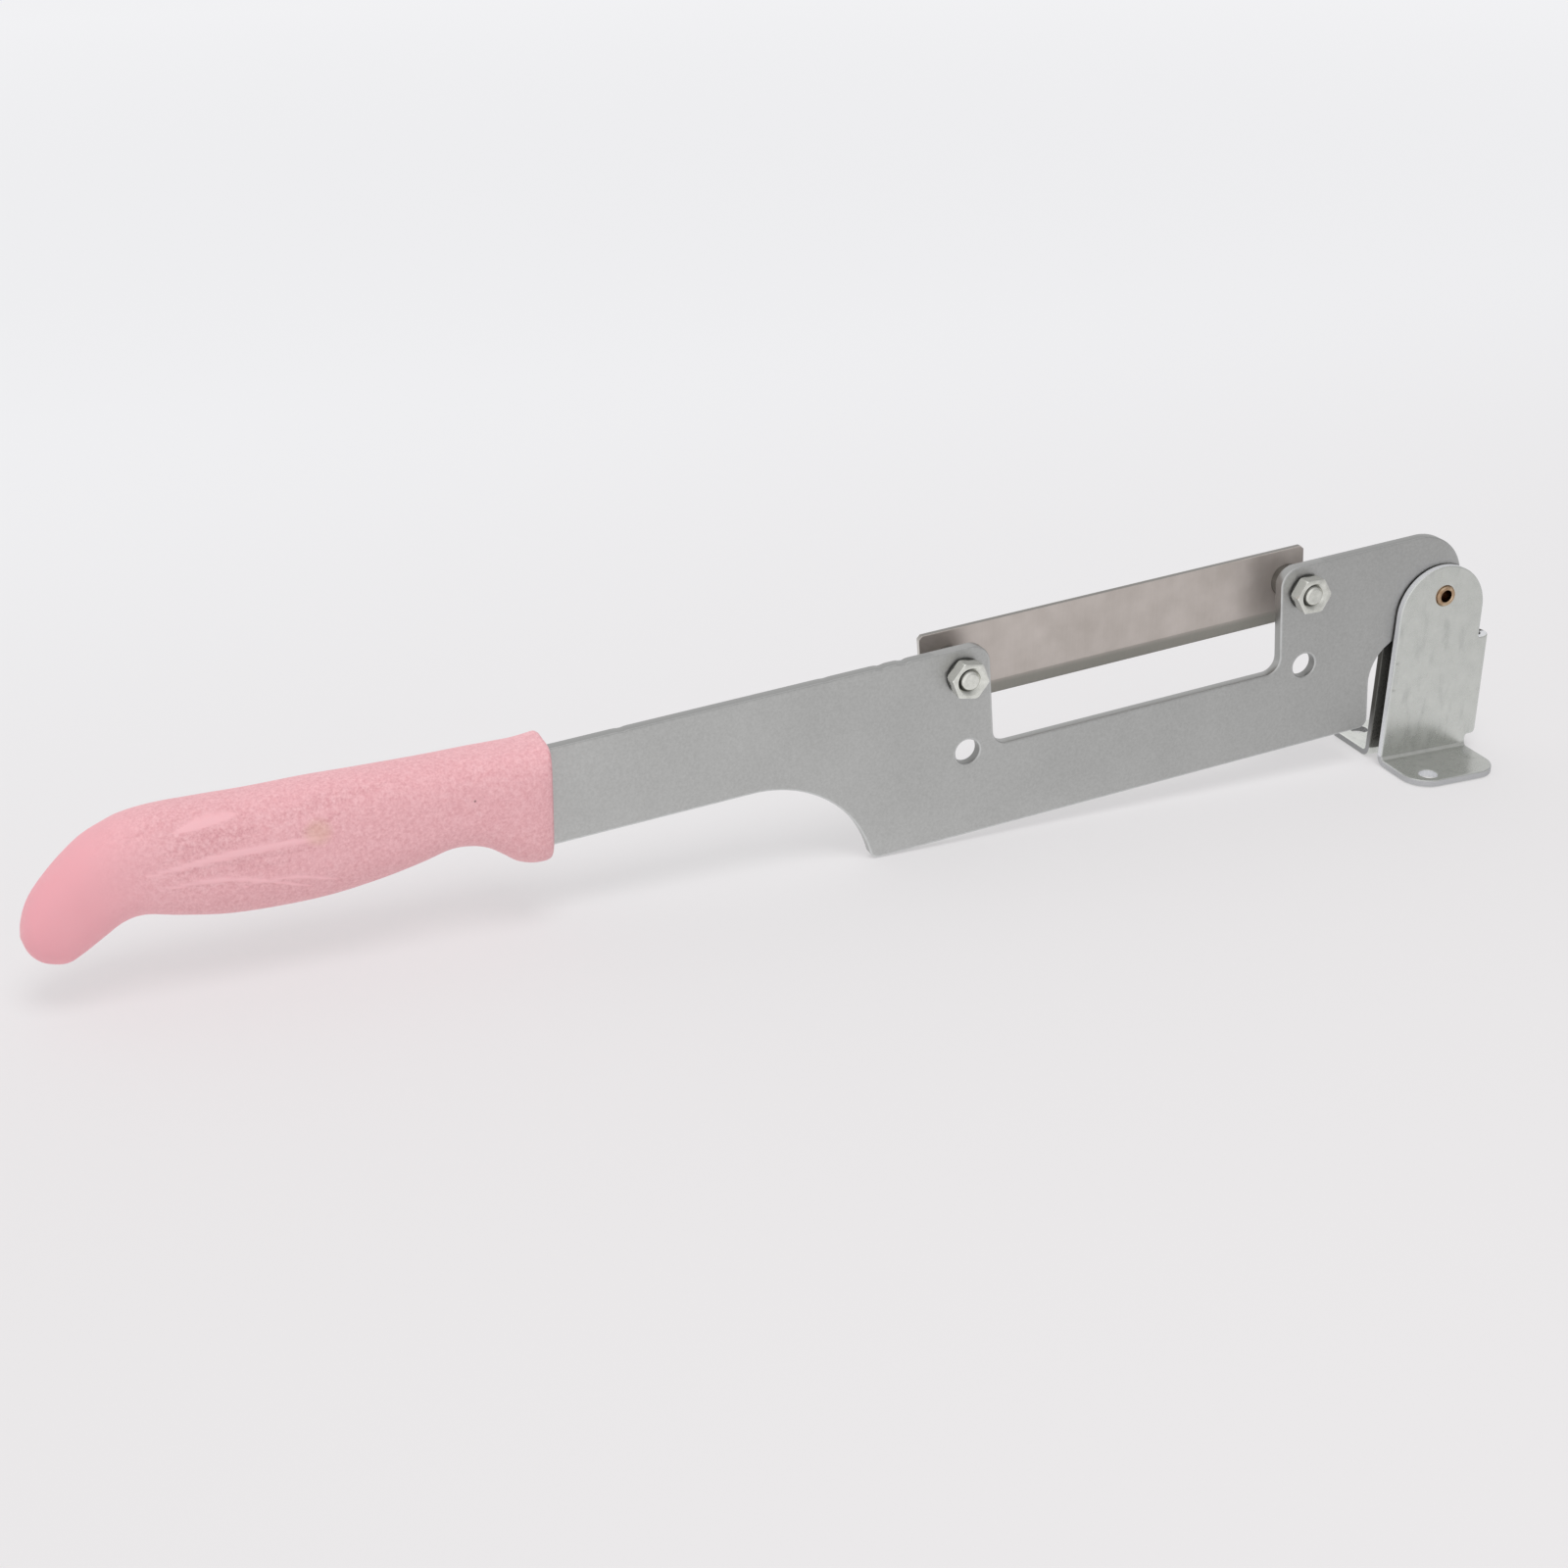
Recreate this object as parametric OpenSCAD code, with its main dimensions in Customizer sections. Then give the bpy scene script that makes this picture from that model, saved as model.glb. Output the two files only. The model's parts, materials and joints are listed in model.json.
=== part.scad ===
// Knife lever of a hand-operated frozen meat slicer, lying as it rests on a table.
// The origin is midway between the two foot screws, on the base plane.
// +X runs towards the hinge end, +Y towards the blade side and +Z up. Sizes are in millimetres.

/* [Hinge bracket] */
// Thickness of the bracket's sheet steel
sheet_t = 2; // [1.5:0.1:2.6]
// Height of the pivot axis above the base plane
pivot_h = 47.4; // [45:0.1:56]
// Width of each ear at its foot
ear_w = 27.2; // [25:0.1:34]
// How much narrower each ear is at its round top, all on its free edge
ear_taper = 1; // [0:0.1:2]
// Height of the ear's round top above the pivot axis
ear_crown = 8.3; // [6.5:0.1:11]
// Distance from the middle of the ear to the pivot axis, towards the web
ear_offset = 0.9; // [0:0.1:3]
// Reach of the web's straight sides past the ears, before its half-round bend
web_reach = 1; // [0.4:0.1:3]
// Drop from the pivot axis to the top of the web
web_drop = 13.8; // [12:0.1:20]
// Height of the web's lower end above the base plane
web_lift = 5; // [4.6:0.1:12]
// Slanted cut at the web's lower corner
web_cut = 1.2; // [0.5:0.1:3]
// Inner radius of the fold between an ear and its foot
fold_r = 1; // [0.5:0.1:2]
// Length of each foot, measured from the ear's outer face
foot_len = 16.6; // [16:0.1:24]
// Radius of the front foot's outer corners
foot_r = 7; // [2:0.5:10]
// Radius of the rear foot's outer corners
rear_foot_r = 3; // [2:0.5:10]
// Diameter of the screw hole in each foot
screw_d = 5; // [3:0.1:6]
// Distance between the two screw holes
screw_pitch = 32; // [30:0.5:34]
// Distance from the pivot axis back to the line of the screws
screw_back = 8; // [2:0.1:9]

/* [Pivot] */
// Diameter of the hollow pivot pin
pin_d = 5.5; // [5:0.1:6.4]
// Diameter of the hole through the pin
pin_bore = 3.2; // [2:0.1:4.2]
// How far the pin stands out of each ear
pin_stand = 0.7; // [0.6:0.1:2]
// Radius of the rolled rim on the pin's ends
pin_rim = 0.45; // [0.2:0.05:0.5]
// Radial clearance of the pin in the ears
pin_seat = 0.02; // [0.01:0.01:0.05]
// Radial clearance of the plate on the pin
pin_run = 0.05; // [0.02:0.01:0.1]
// Gap between the plate and each ear
side_play = 0.3; // [0.2:0.05:0.8]

/* [Arm plate] */
// Thickness of the plate
arm_t = 3; // [2:0.1:5]
// Height of the plate's top edge above the pivot axis
arm_top = 17.2; // [16:0.1:18.5]
// Depth of the plate at the window, top edge to bottom edge
arm_depth = 51.2; // [49:0.1:58]
// Radius of the plate's outer bottom corners
corner_r = 2.5; // [1:0.1:4]
// Depth of the hinge tongue, which ends in a half round
tongue_depth = 26.8; // [26:0.1:29]
// Reach of the tongue past the pivot axis
tongue_reach = 6.2; // [6:0.1:7]
// Distance from the pivot axis to the plate's lower hinge-end edge
heel_x = 21.6; // [20:0.1:26]
// Radius between the tongue and that edge
heel_r = 12; // [4:0.5:14]
// Distance from the pivot axis to the centre of the sweep under the neck
sweep_x = 197.5; // [190:0.5:205]
// Radius of the sweep between the neck and the plate
sweep_r = 30; // [28:0.5:34]
// Depth of the neck between the plate and the grip
neck_depth = 24.8; // [23:0.1:28]
// Length of the tang inside the grip
tang_len = 72; // [40:1:85]
// Depth of the tang
tang_depth = 14; // [8:0.5:16]
// Rise of the tang's middle above the middle of the neck
tang_rise = 3.6; // [2.6:0.1:4.6]
// Clearance of the tang in the grip
tang_clear = 0.1; // [0.05:0.05:0.3]

/* [Window] */
// Distance from each bolt to the window's side
window_land = 7.3; // [6.5:0.1:9]
// Depth of the window below the top edge
window_depth = 28.4; // [22:0.1:32]
// Radius of the window's bottom corners
window_r = 4; // [1:0.5:8]
// Radius of the plate's corners at the window's mouth
lip_r = 5; // [1:0.5:6]

/* [Blade fixing] */
// Diameter of the bolts
bolt_d = 6; // [5:0.1:6.2]
// Distance from the pivot axis to the nearer bolt
bolt_x = 42; // [38:0.1:46]
// Drop from the plate's top edge to the bolts
bolt_drop = 7.2; // [6.8:0.1:8.5]
// Drop from the bolts to the spare holes
spare_drop = 21; // [20:0.1:30]
// Diametral clearance of the holes in the plate
hole_clear = 0.6; // [0.3:0.1:0.8]
// Diametral clearance of the bolt in the blade, the spacers and the washers
shank_clear = 0.4; // [0.2:0.1:0.8]
// Diametral clearance of the bolt in its nut
thread_clear = 0.1; // [0.05:0.05:0.2]
// Width across the flats of the nuts and bolt heads
hex_af = 8.8; // [8.6:0.1:11]
// Height of the nuts
nut_h = 3.4; // [2.5:0.1:6]
// Outer diameter of the washers under the nuts
washer_d = 9.4; // [8:0.1:12]
// Thickness of the washers
washer_t = 0.8; // [0.5:0.1:2]
// Height of the bolt heads
head_h = 4; // [2.5:0.1:5]
// How far each bolt stands out of its nut
bolt_proud = 0.2; // [0:0.1:3]
// Chamfer at the end of each bolt
bolt_tip = 0.8; // [0.2:0.1:1]
// Turn of the nut at the grip end
grip_nut_turn = -13; // [-30:1:30]
// Turn of the nut at the pivot end
pivot_nut_turn = -4; // [-30:1:30]
// Outer diameter of the spacers
spacer_d = 8.8; // [8:0.1:12]
// Gap between the plate and the blade, which is the length of the spacers
slice_gap = 6.5; // [4.5:0.1:12]

/* [Blade] */
// Length of the blade
blade_len = 110.7; // [98:0.1:122]
// Mean distance from the blade's ends to its holes
blade_end = 6.35; // [5.5:0.05:9]
// Height of the blade
blade_h = 20.6; // [18:0.1:24]
// Thickness of the blade
blade_t = 1.5; // [1:0.1:2]
// Height of the ground bevel
bevel_h = 4.1; // [2:0.1:6]
// Thickness left at the cutting edge
edge_t = 0.2; // [0.1:0.05:0.4]
// Drop from the blade's top edge to its holes
blade_drop = 8.5; // [7:0.1:10]
// Offset of the blade's middle from the bolts, towards the grip
blade_lead = 1; // [-1:0.1:1.2]
// Chamfer on the blade's upper corners
blade_cut = 0.9; // [0.3:0.1:2.5]

/* [Grip] */
// Distance from the pivot axis to the grip's front face
grip_x = 248; // [235:0.5:260]
// Lean of the grip's front face, away from the plate at the bottom
grip_lean = 6; // [0:0.5:8]
// Length of the grip
grip_len = 120; // [110:1:140]
// Height of the grip at its bolster
grip_h = 32; // [31:0.5:38]
// Thickness of the grip
grip_w = 19; // [16:0.5:26]
// Rise of the grip's middle above the middle of the neck
grip_rise = 0.6; // [0:0.1:1.5]

/* [Hidden] */
$fn = 64;
pivot_x = screw_back;
ear_in = arm_t / 2 + side_play;
ear_out = ear_in + sheet_t;
ear_mid = pivot_x - ear_offset;
ear_left = ear_mid - ear_w / 2;
ear_right = ear_mid + ear_w / 2;
web_out = ear_right + web_reach + ear_out;
web_top = pivot_h - web_drop;
foot_end = ear_out + foot_len;
fold_out = fold_r + sheet_t;
crown_r = (ear_w - ear_taper) / 2;
crown_x = ear_right - crown_r;
crown_z = pivot_h + ear_crown - crown_r;

arm_low = arm_top - arm_depth;
tongue_r = tongue_depth / 2;
tongue_mid = arm_top - tongue_r;
tongue_low = arm_top - tongue_depth;
neck_mid = arm_top - neck_depth / 2;
neck_low = arm_top - neck_depth;
grip_mid = neck_mid + grip_rise;
tang_low = neck_mid + tang_rise - tang_depth / 2;
sweep_z = neck_low - sweep_r;
bolt_pitch = blade_len - 2 * blade_end;
window_x = bolt_x + window_land;
window_w = bolt_pitch - 2 * window_land;
window_low = arm_top - window_depth;
hole_d = bolt_d + hole_clear;
shank_d = bolt_d - thread_clear;
bolt_z = arm_top - bolt_drop;
spare_z = bolt_z - spare_drop;

// The plate's toe is rounded by a circle that touches the sweep and the bottom edge
toe_z = arm_low + corner_r;
toe_x = -sweep_x + sqrt(pow(sweep_r + corner_r, 2) - pow(toe_z - sweep_z, 2));
sweep_end = -sweep_x + sqrt(pow(sweep_r, 2) - pow(arm_low - sweep_z, 2));
toe_touch = sweep_r / (sweep_r + corner_r);

// At rest the toe lies on the base plane, which sets the arm's tilt
toe_far = norm([toe_x, toe_z]);
rest_tilt = asin((pivot_h - corner_r) / toe_far) - atan2(-toe_z, -toe_x);

nut_base = -arm_t / 2 - washer_t;
nut_face = nut_base - nut_h;
blade_front = arm_t / 2 + slice_gap;
blade_back = blade_front + blade_t;
blade_mid = -bolt_x - bolt_pitch / 2 - blade_lead;
blade_top = bolt_z + blade_drop;
blade_edge = blade_top - blade_h;
past = 1;

// Grip stations from the bolster to the tail: share of the length, of the height
// above and below the grip's middle, of the thickness, and the squareness of the oval
grip_rings = 72;
grip_sides = 36;
grip_stations = [
    [0.000, 0.452, 0.412, 0.81, 4.4],
    [0.006, 0.446, 0.438, 0.91, 4.2],
    [0.020, 0.445, 0.454, 0.97, 3.8],
    [0.048, 0.447, 0.448, 1.00, 3.6],
    [0.077, 0.457, 0.408, 1.00, 3.3],
    [0.101, 0.465, 0.337, 1.00, 3.1],
    [0.130, 0.473, 0.256, 0.99, 3.0],
    [0.163, 0.480, 0.208, 0.98, 2.9],
    [0.205, 0.490, 0.195, 0.97, 2.8],
    [0.263, 0.507, 0.245, 0.97, 2.7],
    [0.346, 0.533, 0.296, 0.98, 2.6],
    [0.446, 0.561, 0.321, 1.00, 2.6],
    [0.546, 0.580, 0.308, 1.00, 2.5],
    [0.637, 0.605, 0.265, 1.00, 2.5],
    [0.720, 0.623, 0.184, 0.99, 2.5],
    [0.778, 0.608, 0.116, 0.98, 2.5],
    [0.818, 0.566, 0.130, 0.97, 2.5],
    [0.858, 0.510, 0.213, 0.94, 2.4],
    [0.898, 0.410, 0.297, 0.89, 2.4],
    [0.930, 0.315, 0.350, 0.82, 2.3],
    [0.961, 0.205, 0.330, 0.70, 2.2],
    [0.981, 0.100, 0.280, 0.56, 2.2],
    [0.994, -0.005, 0.205, 0.36, 2.0],
    [1.000, -0.095, 0.105, 0.04, 2.0]
];

// Places children in the arm's own frame: pivot at the origin, grip along -X
module in_arm() {
    translate([pivot_x, 0, pivot_h])
        rotate([0, -rest_tilt, 0])
            children();
}

// Extrudes an X-Z outline along Y from y0 to y1
module slab(y0, y1) {
    translate([0, y1, 0])
        rotate([90, 0, 0])
            linear_extrude(y1 - y0)
                children();
}

// Round bar along Y from y0 to y1
module bar(d, y0, y1) {
    translate([0, y0, 0])
        rotate([-90, 0, 0])
            cylinder(d = d, h = y1 - y0);
}

// Solid of revolution about the Y axis, its profile given as radius and Y
module spun_about_y() {
    rotate([-90, 0, 0])
        rotate_extrude()
            children();
}

// Square corner with a concave quarter round, its sharp corner at the origin
module cove(r) {
    difference() {
        square(r);
        translate([r, r])
            circle(r);
    }
}

// Hexagonal blank along Y with chamfered ends
module hex_blank(h, turn) {
    corner = hex_af / sqrt(3);
    face_r = 0.51 * hex_af;
    bevel = (corner - face_r) * tan(30);
    intersection() {
        rotate([0, -turn, 0])
            rotate([-90, 0, 0])
                cylinder(r = corner, h = h, $fn = 6);
        spun_about_y()
            polygon([[0, 0], [face_r, 0], [corner, bevel], [corner, h - bevel], [face_r, h], [0, h]]);
    }
}

// Ears and feet seen along X: one side of the bent sheet
module fold_outline() {
    difference() {
        union() {
            translate([ear_in, 0])
                square([sheet_t, pivot_h + ear_crown]);
            translate([ear_in, 0])
                square([foot_end - ear_in, sheet_t]);
            translate([ear_out, sheet_t])
                cove(fold_r);
        }
        translate([ear_in, 0])
            cove(fold_out);
    }
}

// Outline of the ears seen along Y, down to the base plane.
// The free edge rises from the fold and leans in until it touches the round top.
module ear_outline() {
    run = crown_x - ear_left;
    rise = crown_z - fold_out;
    reach = sqrt(run * run + rise * rise - crown_r * crown_r);
    lean = atan2(rise, run) + asin(crown_r / norm([run, rise]));
    translate([crown_x, crown_z])
        circle(crown_r);
    polygon([
        [ear_left, 0], [ear_right, 0], [ear_right, crown_z], [crown_x, crown_z],
        [ear_left + reach * cos(lean), fold_out + reach * sin(lean)], [ear_left, fold_out]
    ]);
}

// Outline of the feet from above, with the outer corners rounded
module foot_outline() {
    difference() {
        translate([ear_left, -foot_end])
            square([ear_w, 2 * foot_end]);
        for (sx = [0, 1], sy = [0, 1])
            translate([sx == 0 ? ear_left : ear_right, sy == 0 ? -foot_end : foot_end])
                mirror([sx, 0])
                    mirror([0, sy])
                        cove(sy == 0 ? foot_r : rear_foot_r);
    }
}

// Web seen from above: straight sides and a half-round bend
module web_outline() {
    bend_x = ear_right + web_reach;
    difference() {
        union() {
            translate([bend_x, 0])
                circle(ear_out);
            translate([ear_right - past, -ear_out])
                square([web_reach + past, 2 * ear_out]);
        }
        translate([bend_x, 0])
            circle(ear_in);
        translate([ear_right - ear_out, -ear_in])
            square([web_reach + ear_out, 2 * ear_in]);
    }
}

module hinge_bracket() {
    color("#bcbdb7")
        difference() {
            union() {
                intersection() {
                    union() {
                        for (sy = [0, 1])
                            mirror([0, sy, 0])
                                translate([ear_left, 0, 0])
                                    rotate([90, 0, 90])
                                        linear_extrude(ear_w)
                                            fold_outline();
                    }
                    slab(-foot_end, foot_end)
                        ear_outline();
                    linear_extrude(pivot_h + ear_crown)
                        foot_outline();
                }
                intersection() {
                    translate([0, 0, web_lift])
                        linear_extrude(web_top - web_lift)
                            web_outline();
                    slab(-ear_out, ear_out)
                        polygon([
                            [ear_right - past, web_lift], [web_out - 2 * web_cut, web_lift],
                            [web_out, web_lift + web_cut], [web_out, web_top], [ear_right - past, web_top]
                        ]);
                }
            }
            translate([pivot_x, 0, pivot_h])
                bar(pin_d + 2 * pin_seat, -ear_out - past, ear_out + past);
            for (sy = [-1, 1])
                translate([0, sy * screw_pitch / 2, -past])
                    cylinder(d = screw_d, h = sheet_t + 2 * past);
        }
}

// Hollow pin with a rolled rim at both ends
module pivot_pin() {
    half = ear_out + pin_stand;
    color("#a9784f")
        translate([pivot_x, 0, pivot_h])
            spun_about_y()
                difference() {
                    translate([pin_bore / 2, -half])
                        square([(pin_d - pin_bore) / 2, 2 * half]);
                    for (sy = [0, 1])
                        mirror([0, sy])
                            translate([pin_d / 2, half])
                                rotate(180)
                                    cove(pin_rim);
                }
}

// Plate below the window, with its rounded toe and heel
module plate_outline() {
    difference() {
        translate([-sweep_x, arm_low])
            square([sweep_x - heel_x, arm_depth]);
        translate([-sweep_x, sweep_z])
            circle(sweep_r, $fn = 128);
        translate([-heel_x, arm_low])
            mirror([1, 0])
                cove(corner_r);
        difference() {
            polygon([
                [toe_x, arm_low], [sweep_end, arm_low],
                [-sweep_x + (toe_x + sweep_x) * toe_touch, sweep_z + (toe_z - sweep_z) * toe_touch],
                [toe_x, toe_z]
            ]);
            translate([toe_x, toe_z])
                circle(corner_r);
        }
    }
}

// Neck, which ends against the grip's leaning front face, and the tang, which runs back into the grip
module neck_outline() {
    lean = tan(grip_lean);
    polygon([
        [-sweep_x, neck_low], [-sweep_x, arm_top],
        [-grip_x + lean * (arm_top - grip_mid), arm_top], [-grip_x + lean * (neck_low - grip_mid), neck_low]
    ]);
    translate([-grip_x - tang_len, tang_low])
        square([tang_len + 2 * past, tang_depth]);
}

// Hinge tongue with its half-round end and the radius under it
module tongue_outline() {
    tongue_x = tongue_reach - tongue_r;
    translate([-heel_x - past, tongue_low])
        square([heel_x + past + tongue_x, tongue_depth]);
    translate([tongue_x, tongue_mid])
        circle(tongue_r);
    translate([-heel_x, tongue_low])
        mirror([0, 1])
            cove(heel_r);
}

// Open-topped window with rounded bottom corners and rounded lips
module window_outline() {
    translate([-window_x - window_w, window_low])
        difference() {
            square([window_w, window_depth + past]);
            cove(window_r);
            translate([window_w, 0])
                mirror([1, 0])
                    cove(window_r);
        }
    for (side = [0, 1])
        translate([-window_x - (1 - side) * window_w, arm_top])
            mirror([1 - side, 0])
                mirror([0, 1])
                    cove(lip_r);
}

module arm_plate() {
    color("#a9aaa8")
        in_arm()
            difference() {
                slab(-arm_t / 2, arm_t / 2)
                    difference() {
                        union() {
                            plate_outline();
                            neck_outline();
                            tongue_outline();
                        }
                        window_outline();
                    }
                bar(pin_d + 2 * pin_run, -arm_t, arm_t);
                for (i = [0, 1], z = [bolt_z, spare_z])
                    translate([-bolt_x - i * bolt_pitch, 0, z])
                        bar(hole_d, -arm_t, arm_t);
            }
}

// Smooth value between the middle two of four stations
function blend(a, b, c, d, t) =
    b + 0.5 * t * (c - a + t * (2 * a - 5 * b + 4 * c - d + t * (3 * (b - c) + d - a)));
function station(i) = grip_stations[min(max(i, 0), len(grip_stations) - 1)];
function grip_at(u) =
    let (i = min(floor(u), len(grip_stations) - 2), t = u - i)
    [for (k = [0:4]) blend(station(i - 1)[k], station(i)[k], station(i + 1)[k], station(i + 2)[k], t)];
function squared(v, n) = sign(v) * pow(abs(v), 2 / n);
// Points of one cross-section, a squared oval between the top and the underside,
// leaning with the front face and less so further back
function grip_ring(s) =
    let (up = s[1] * grip_h, down = -s[2] * grip_h, lean = tan(grip_lean) * pow(1 - s[0], 8))
    [for (k = [0:grip_sides - 1])
        let (
            a = 360 * k / grip_sides,
            y = s[3] * grip_w / 2 * squared(cos(a), s[4]),
            z = (up + down + (up - down) * squared(sin(a), s[4])) / 2
        )
        [-grip_x - s[0] * grip_len + lean * z, y, grip_mid + z]];

// Moulded grip: ovals carried from the bolster to the tail, with a pocket for the tang
module handle_grip() {
    last = len(grip_stations) - 1;
    points = [for (r = [0:grip_rings]) each grip_ring(grip_at(last * r / grip_rings))];
    sides = [
        for (r = [0:grip_rings - 1], k = [0:grip_sides - 1])
            let (a = r * grip_sides + k, b = r * grip_sides + (k + 1) % grip_sides)
            each [[a, b, b + grip_sides], [a, b + grip_sides, a + grip_sides]]
    ];
    front = [for (k = [0:grip_sides - 1]) grip_sides - 1 - k];
    tail = [for (k = [0:grip_sides - 1]) grip_rings * grip_sides + k];
    color("#eeb2ba")
        in_arm()
            difference() {
                polyhedron(points, concat(sides, [front, tail]));
                translate([-grip_x - tang_len - tang_clear, -arm_t / 2 - tang_clear, tang_low - tang_clear])
                    cube([tang_len + tang_clear + 2 * past, arm_t + 2 * tang_clear, tang_depth + 2 * tang_clear]);
            }
}

module blade() {
    left = blade_mid - blade_len / 2;
    color("#b0a8a3")
        in_arm()
            difference() {
                intersection() {
                    translate([left, 0, 0])
                        rotate([90, 0, 90])
                            linear_extrude(blade_len)
                                polygon([
                                    [blade_front, blade_top], [blade_back, blade_top],
                                    [blade_back, blade_edge], [blade_back - edge_t, blade_edge],
                                    [blade_front, blade_edge + bevel_h]
                                ]);
                    slab(blade_front, blade_back)
                        polygon([
                            [left, blade_edge], [left + blade_len, blade_edge],
                            [left + blade_len, blade_top - blade_cut], [left + blade_len - blade_cut, blade_top],
                            [left + blade_cut, blade_top], [left, blade_top - blade_cut]
                        ]);
                }
                for (i = [0, 1])
                    translate([-bolt_x - i * bolt_pitch, 0, bolt_z])
                        bar(bolt_d + shank_clear, blade_front - past, blade_back + past);
            }
}

// Places children at one blade bolt: 0 is the pivot end, 1 the grip end
module at_bolt(i) {
    in_arm()
        translate([-bolt_x - i * bolt_pitch, 0, bolt_z])
            children();
}

module blade_bolt(i) {
    tip = nut_face - bolt_proud;
    color("#c9cac4")
        at_bolt(i) {
            translate([0, blade_back, 0])
                hex_blank(head_h, 0);
            spun_about_y()
                polygon([
                    [0, tip], [shank_d / 2 - bolt_tip, tip], [shank_d / 2, tip + bolt_tip],
                    [shank_d / 2, blade_back + head_h / 2], [0, blade_back + head_h / 2]
                ]);
        }
}

module blade_nut(i, turn) {
    color("#dcdcd2")
        at_bolt(i)
            translate([0, nut_face, 0])
                difference() {
                    hex_blank(nut_h, turn);
                    bar(bolt_d, -past, nut_h + past);
                }
}

module nut_washer(i) {
    color("#4a4b4c")
        at_bolt(i)
            difference() {
                bar(washer_d, nut_base, -arm_t / 2);
                bar(bolt_d + shank_clear, nut_base - past, 0);
            }
}

module blade_spacer(i) {
    color("#3c3d3e")
        at_bolt(i)
            difference() {
                bar(spacer_d, arm_t / 2, blade_front);
                bar(bolt_d + shank_clear, 0, blade_back);
            }
}

module handle_end_bolt() { blade_bolt(1); }
module pivot_end_bolt() { blade_bolt(0); }
module handle_end_nut() { blade_nut(1, grip_nut_turn); }
module pivot_end_nut() { blade_nut(0, pivot_nut_turn); }
module handle_end_washer() { nut_washer(1); }
module pivot_end_washer() { nut_washer(0); }
module handle_end_spacer() { blade_spacer(1); }
module pivot_end_spacer() { blade_spacer(0); }

hinge_bracket();
pivot_pin();
arm_plate();
handle_grip();
blade();
handle_end_bolt();
pivot_end_bolt();
handle_end_nut();
pivot_end_nut();
handle_end_washer();
pivot_end_washer();
handle_end_spacer();
pivot_end_spacer();
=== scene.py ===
# Dresses the knife lever of a hand-operated meat slicer and lights it on a pale table
import json
import math

import bmesh
import bpy
import numpy as np
from mathutils import Matrix, Vector
from mathutils.geometry import delaunay_2d_cdt


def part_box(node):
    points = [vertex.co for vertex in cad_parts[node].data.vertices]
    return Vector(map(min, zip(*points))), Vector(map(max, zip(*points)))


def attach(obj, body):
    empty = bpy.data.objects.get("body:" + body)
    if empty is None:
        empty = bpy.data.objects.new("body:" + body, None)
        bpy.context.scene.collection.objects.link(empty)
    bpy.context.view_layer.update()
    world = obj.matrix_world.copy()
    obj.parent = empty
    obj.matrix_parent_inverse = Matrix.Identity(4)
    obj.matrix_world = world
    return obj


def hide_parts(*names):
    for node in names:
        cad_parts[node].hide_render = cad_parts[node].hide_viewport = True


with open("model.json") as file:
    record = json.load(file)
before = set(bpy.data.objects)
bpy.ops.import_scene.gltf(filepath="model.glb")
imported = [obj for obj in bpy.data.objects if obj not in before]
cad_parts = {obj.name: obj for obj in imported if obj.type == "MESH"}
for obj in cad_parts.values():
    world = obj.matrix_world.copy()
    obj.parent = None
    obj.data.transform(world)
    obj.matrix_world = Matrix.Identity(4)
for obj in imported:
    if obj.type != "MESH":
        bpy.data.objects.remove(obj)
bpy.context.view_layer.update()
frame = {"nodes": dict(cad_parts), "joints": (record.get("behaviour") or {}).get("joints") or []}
mm = 0.001
scene = bpy.context.scene
print("frame loaded,", len(frame["nodes"]), "solids")


# Places on the lever: the plate's own axes run through its two bolts, from the pivot

def boxMiddle(node):
    low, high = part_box(node)
    return (np.array(low) + np.array(high)) / (2 * mm)


pivotPoint = np.array(frame["joints"][0]["pos_m"]) / mm
alongPlate = boxMiddle("pivot_end_washer") - boxMiddle("handle_end_washer")
alongPlate = alongPlate / np.linalg.norm(alongPlate)
acrossPlate = np.array([0.0, 1.0, 0.0])
upPlate = np.cross(alongPlate, acrossPlate)


# A point of the plate's axes (along, across, up) is that many millimetres from the pivot
def onLever(points):
    return pivotPoint + points @ np.array([alongPlate, acrossPlate, upPlate])


def boltPlace(end):
    offset = boxMiddle(end + "_washer") - pivotPoint
    return np.array([offset @ alongPlate, 0.0, offset @ upPlate])


handleBolt, pivotBolt = boltPlace("handle_end"), boltPlace("pivot_end")


# Meshes

def addObject(name, data):
    made = bpy.data.objects.new(name, data)
    scene.collection.objects.link(made)
    return made


# 0 up to start, and 1 from a run further on
def ramp(value, start, run):
    return np.clip((value - start) / run, 0, 1)


# Faces of a grid of points whose columns close into a ring, with its rows joined too, or its ends capped
def ringFaces(rows, cols, joined=False, capped=False):
    last = rows if joined else rows - 1
    r, c = np.meshgrid(np.arange(last), np.arange(cols), indexing="ij")
    below = (r + 1) % rows
    beside = (c + 1) % cols
    quads = np.stack([r * cols + c, below * cols + c, below * cols + beside, r * cols + beside], -1)
    caps = [list(range(cols)), list(range((rows - 1) * cols, rows * cols))]
    return quads.reshape(-1, 4).tolist() + (caps if capped else [])


def makePiece(name, points, faces, node, body, material, creaseAngle=None, marks=None):
    mesh = bpy.data.meshes.new(name)
    mesh.from_pydata((np.asarray(points) * mm).tolist(), [], faces)
    work = bmesh.new()
    work.from_mesh(mesh)
    bmesh.ops.recalc_face_normals(work, faces=work.faces)
    work.to_mesh(mesh)
    work.free()
    for markName, values in (marks or {}).items():
        layer = mesh.attributes.new(markName, "FLOAT", "POINT")
        layer.data.foreach_set("value", np.asarray(values, np.float32))
    mesh.shade_smooth()
    if creaseAngle:
        mesh.set_sharp_from_angle(angle=math.radians(creaseAngle))
    mesh.materials.append(material)
    piece = addObject(name, mesh)
    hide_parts(node)
    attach(piece, body)
    print("made", name, len(mesh.polygons), "faces")


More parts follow.
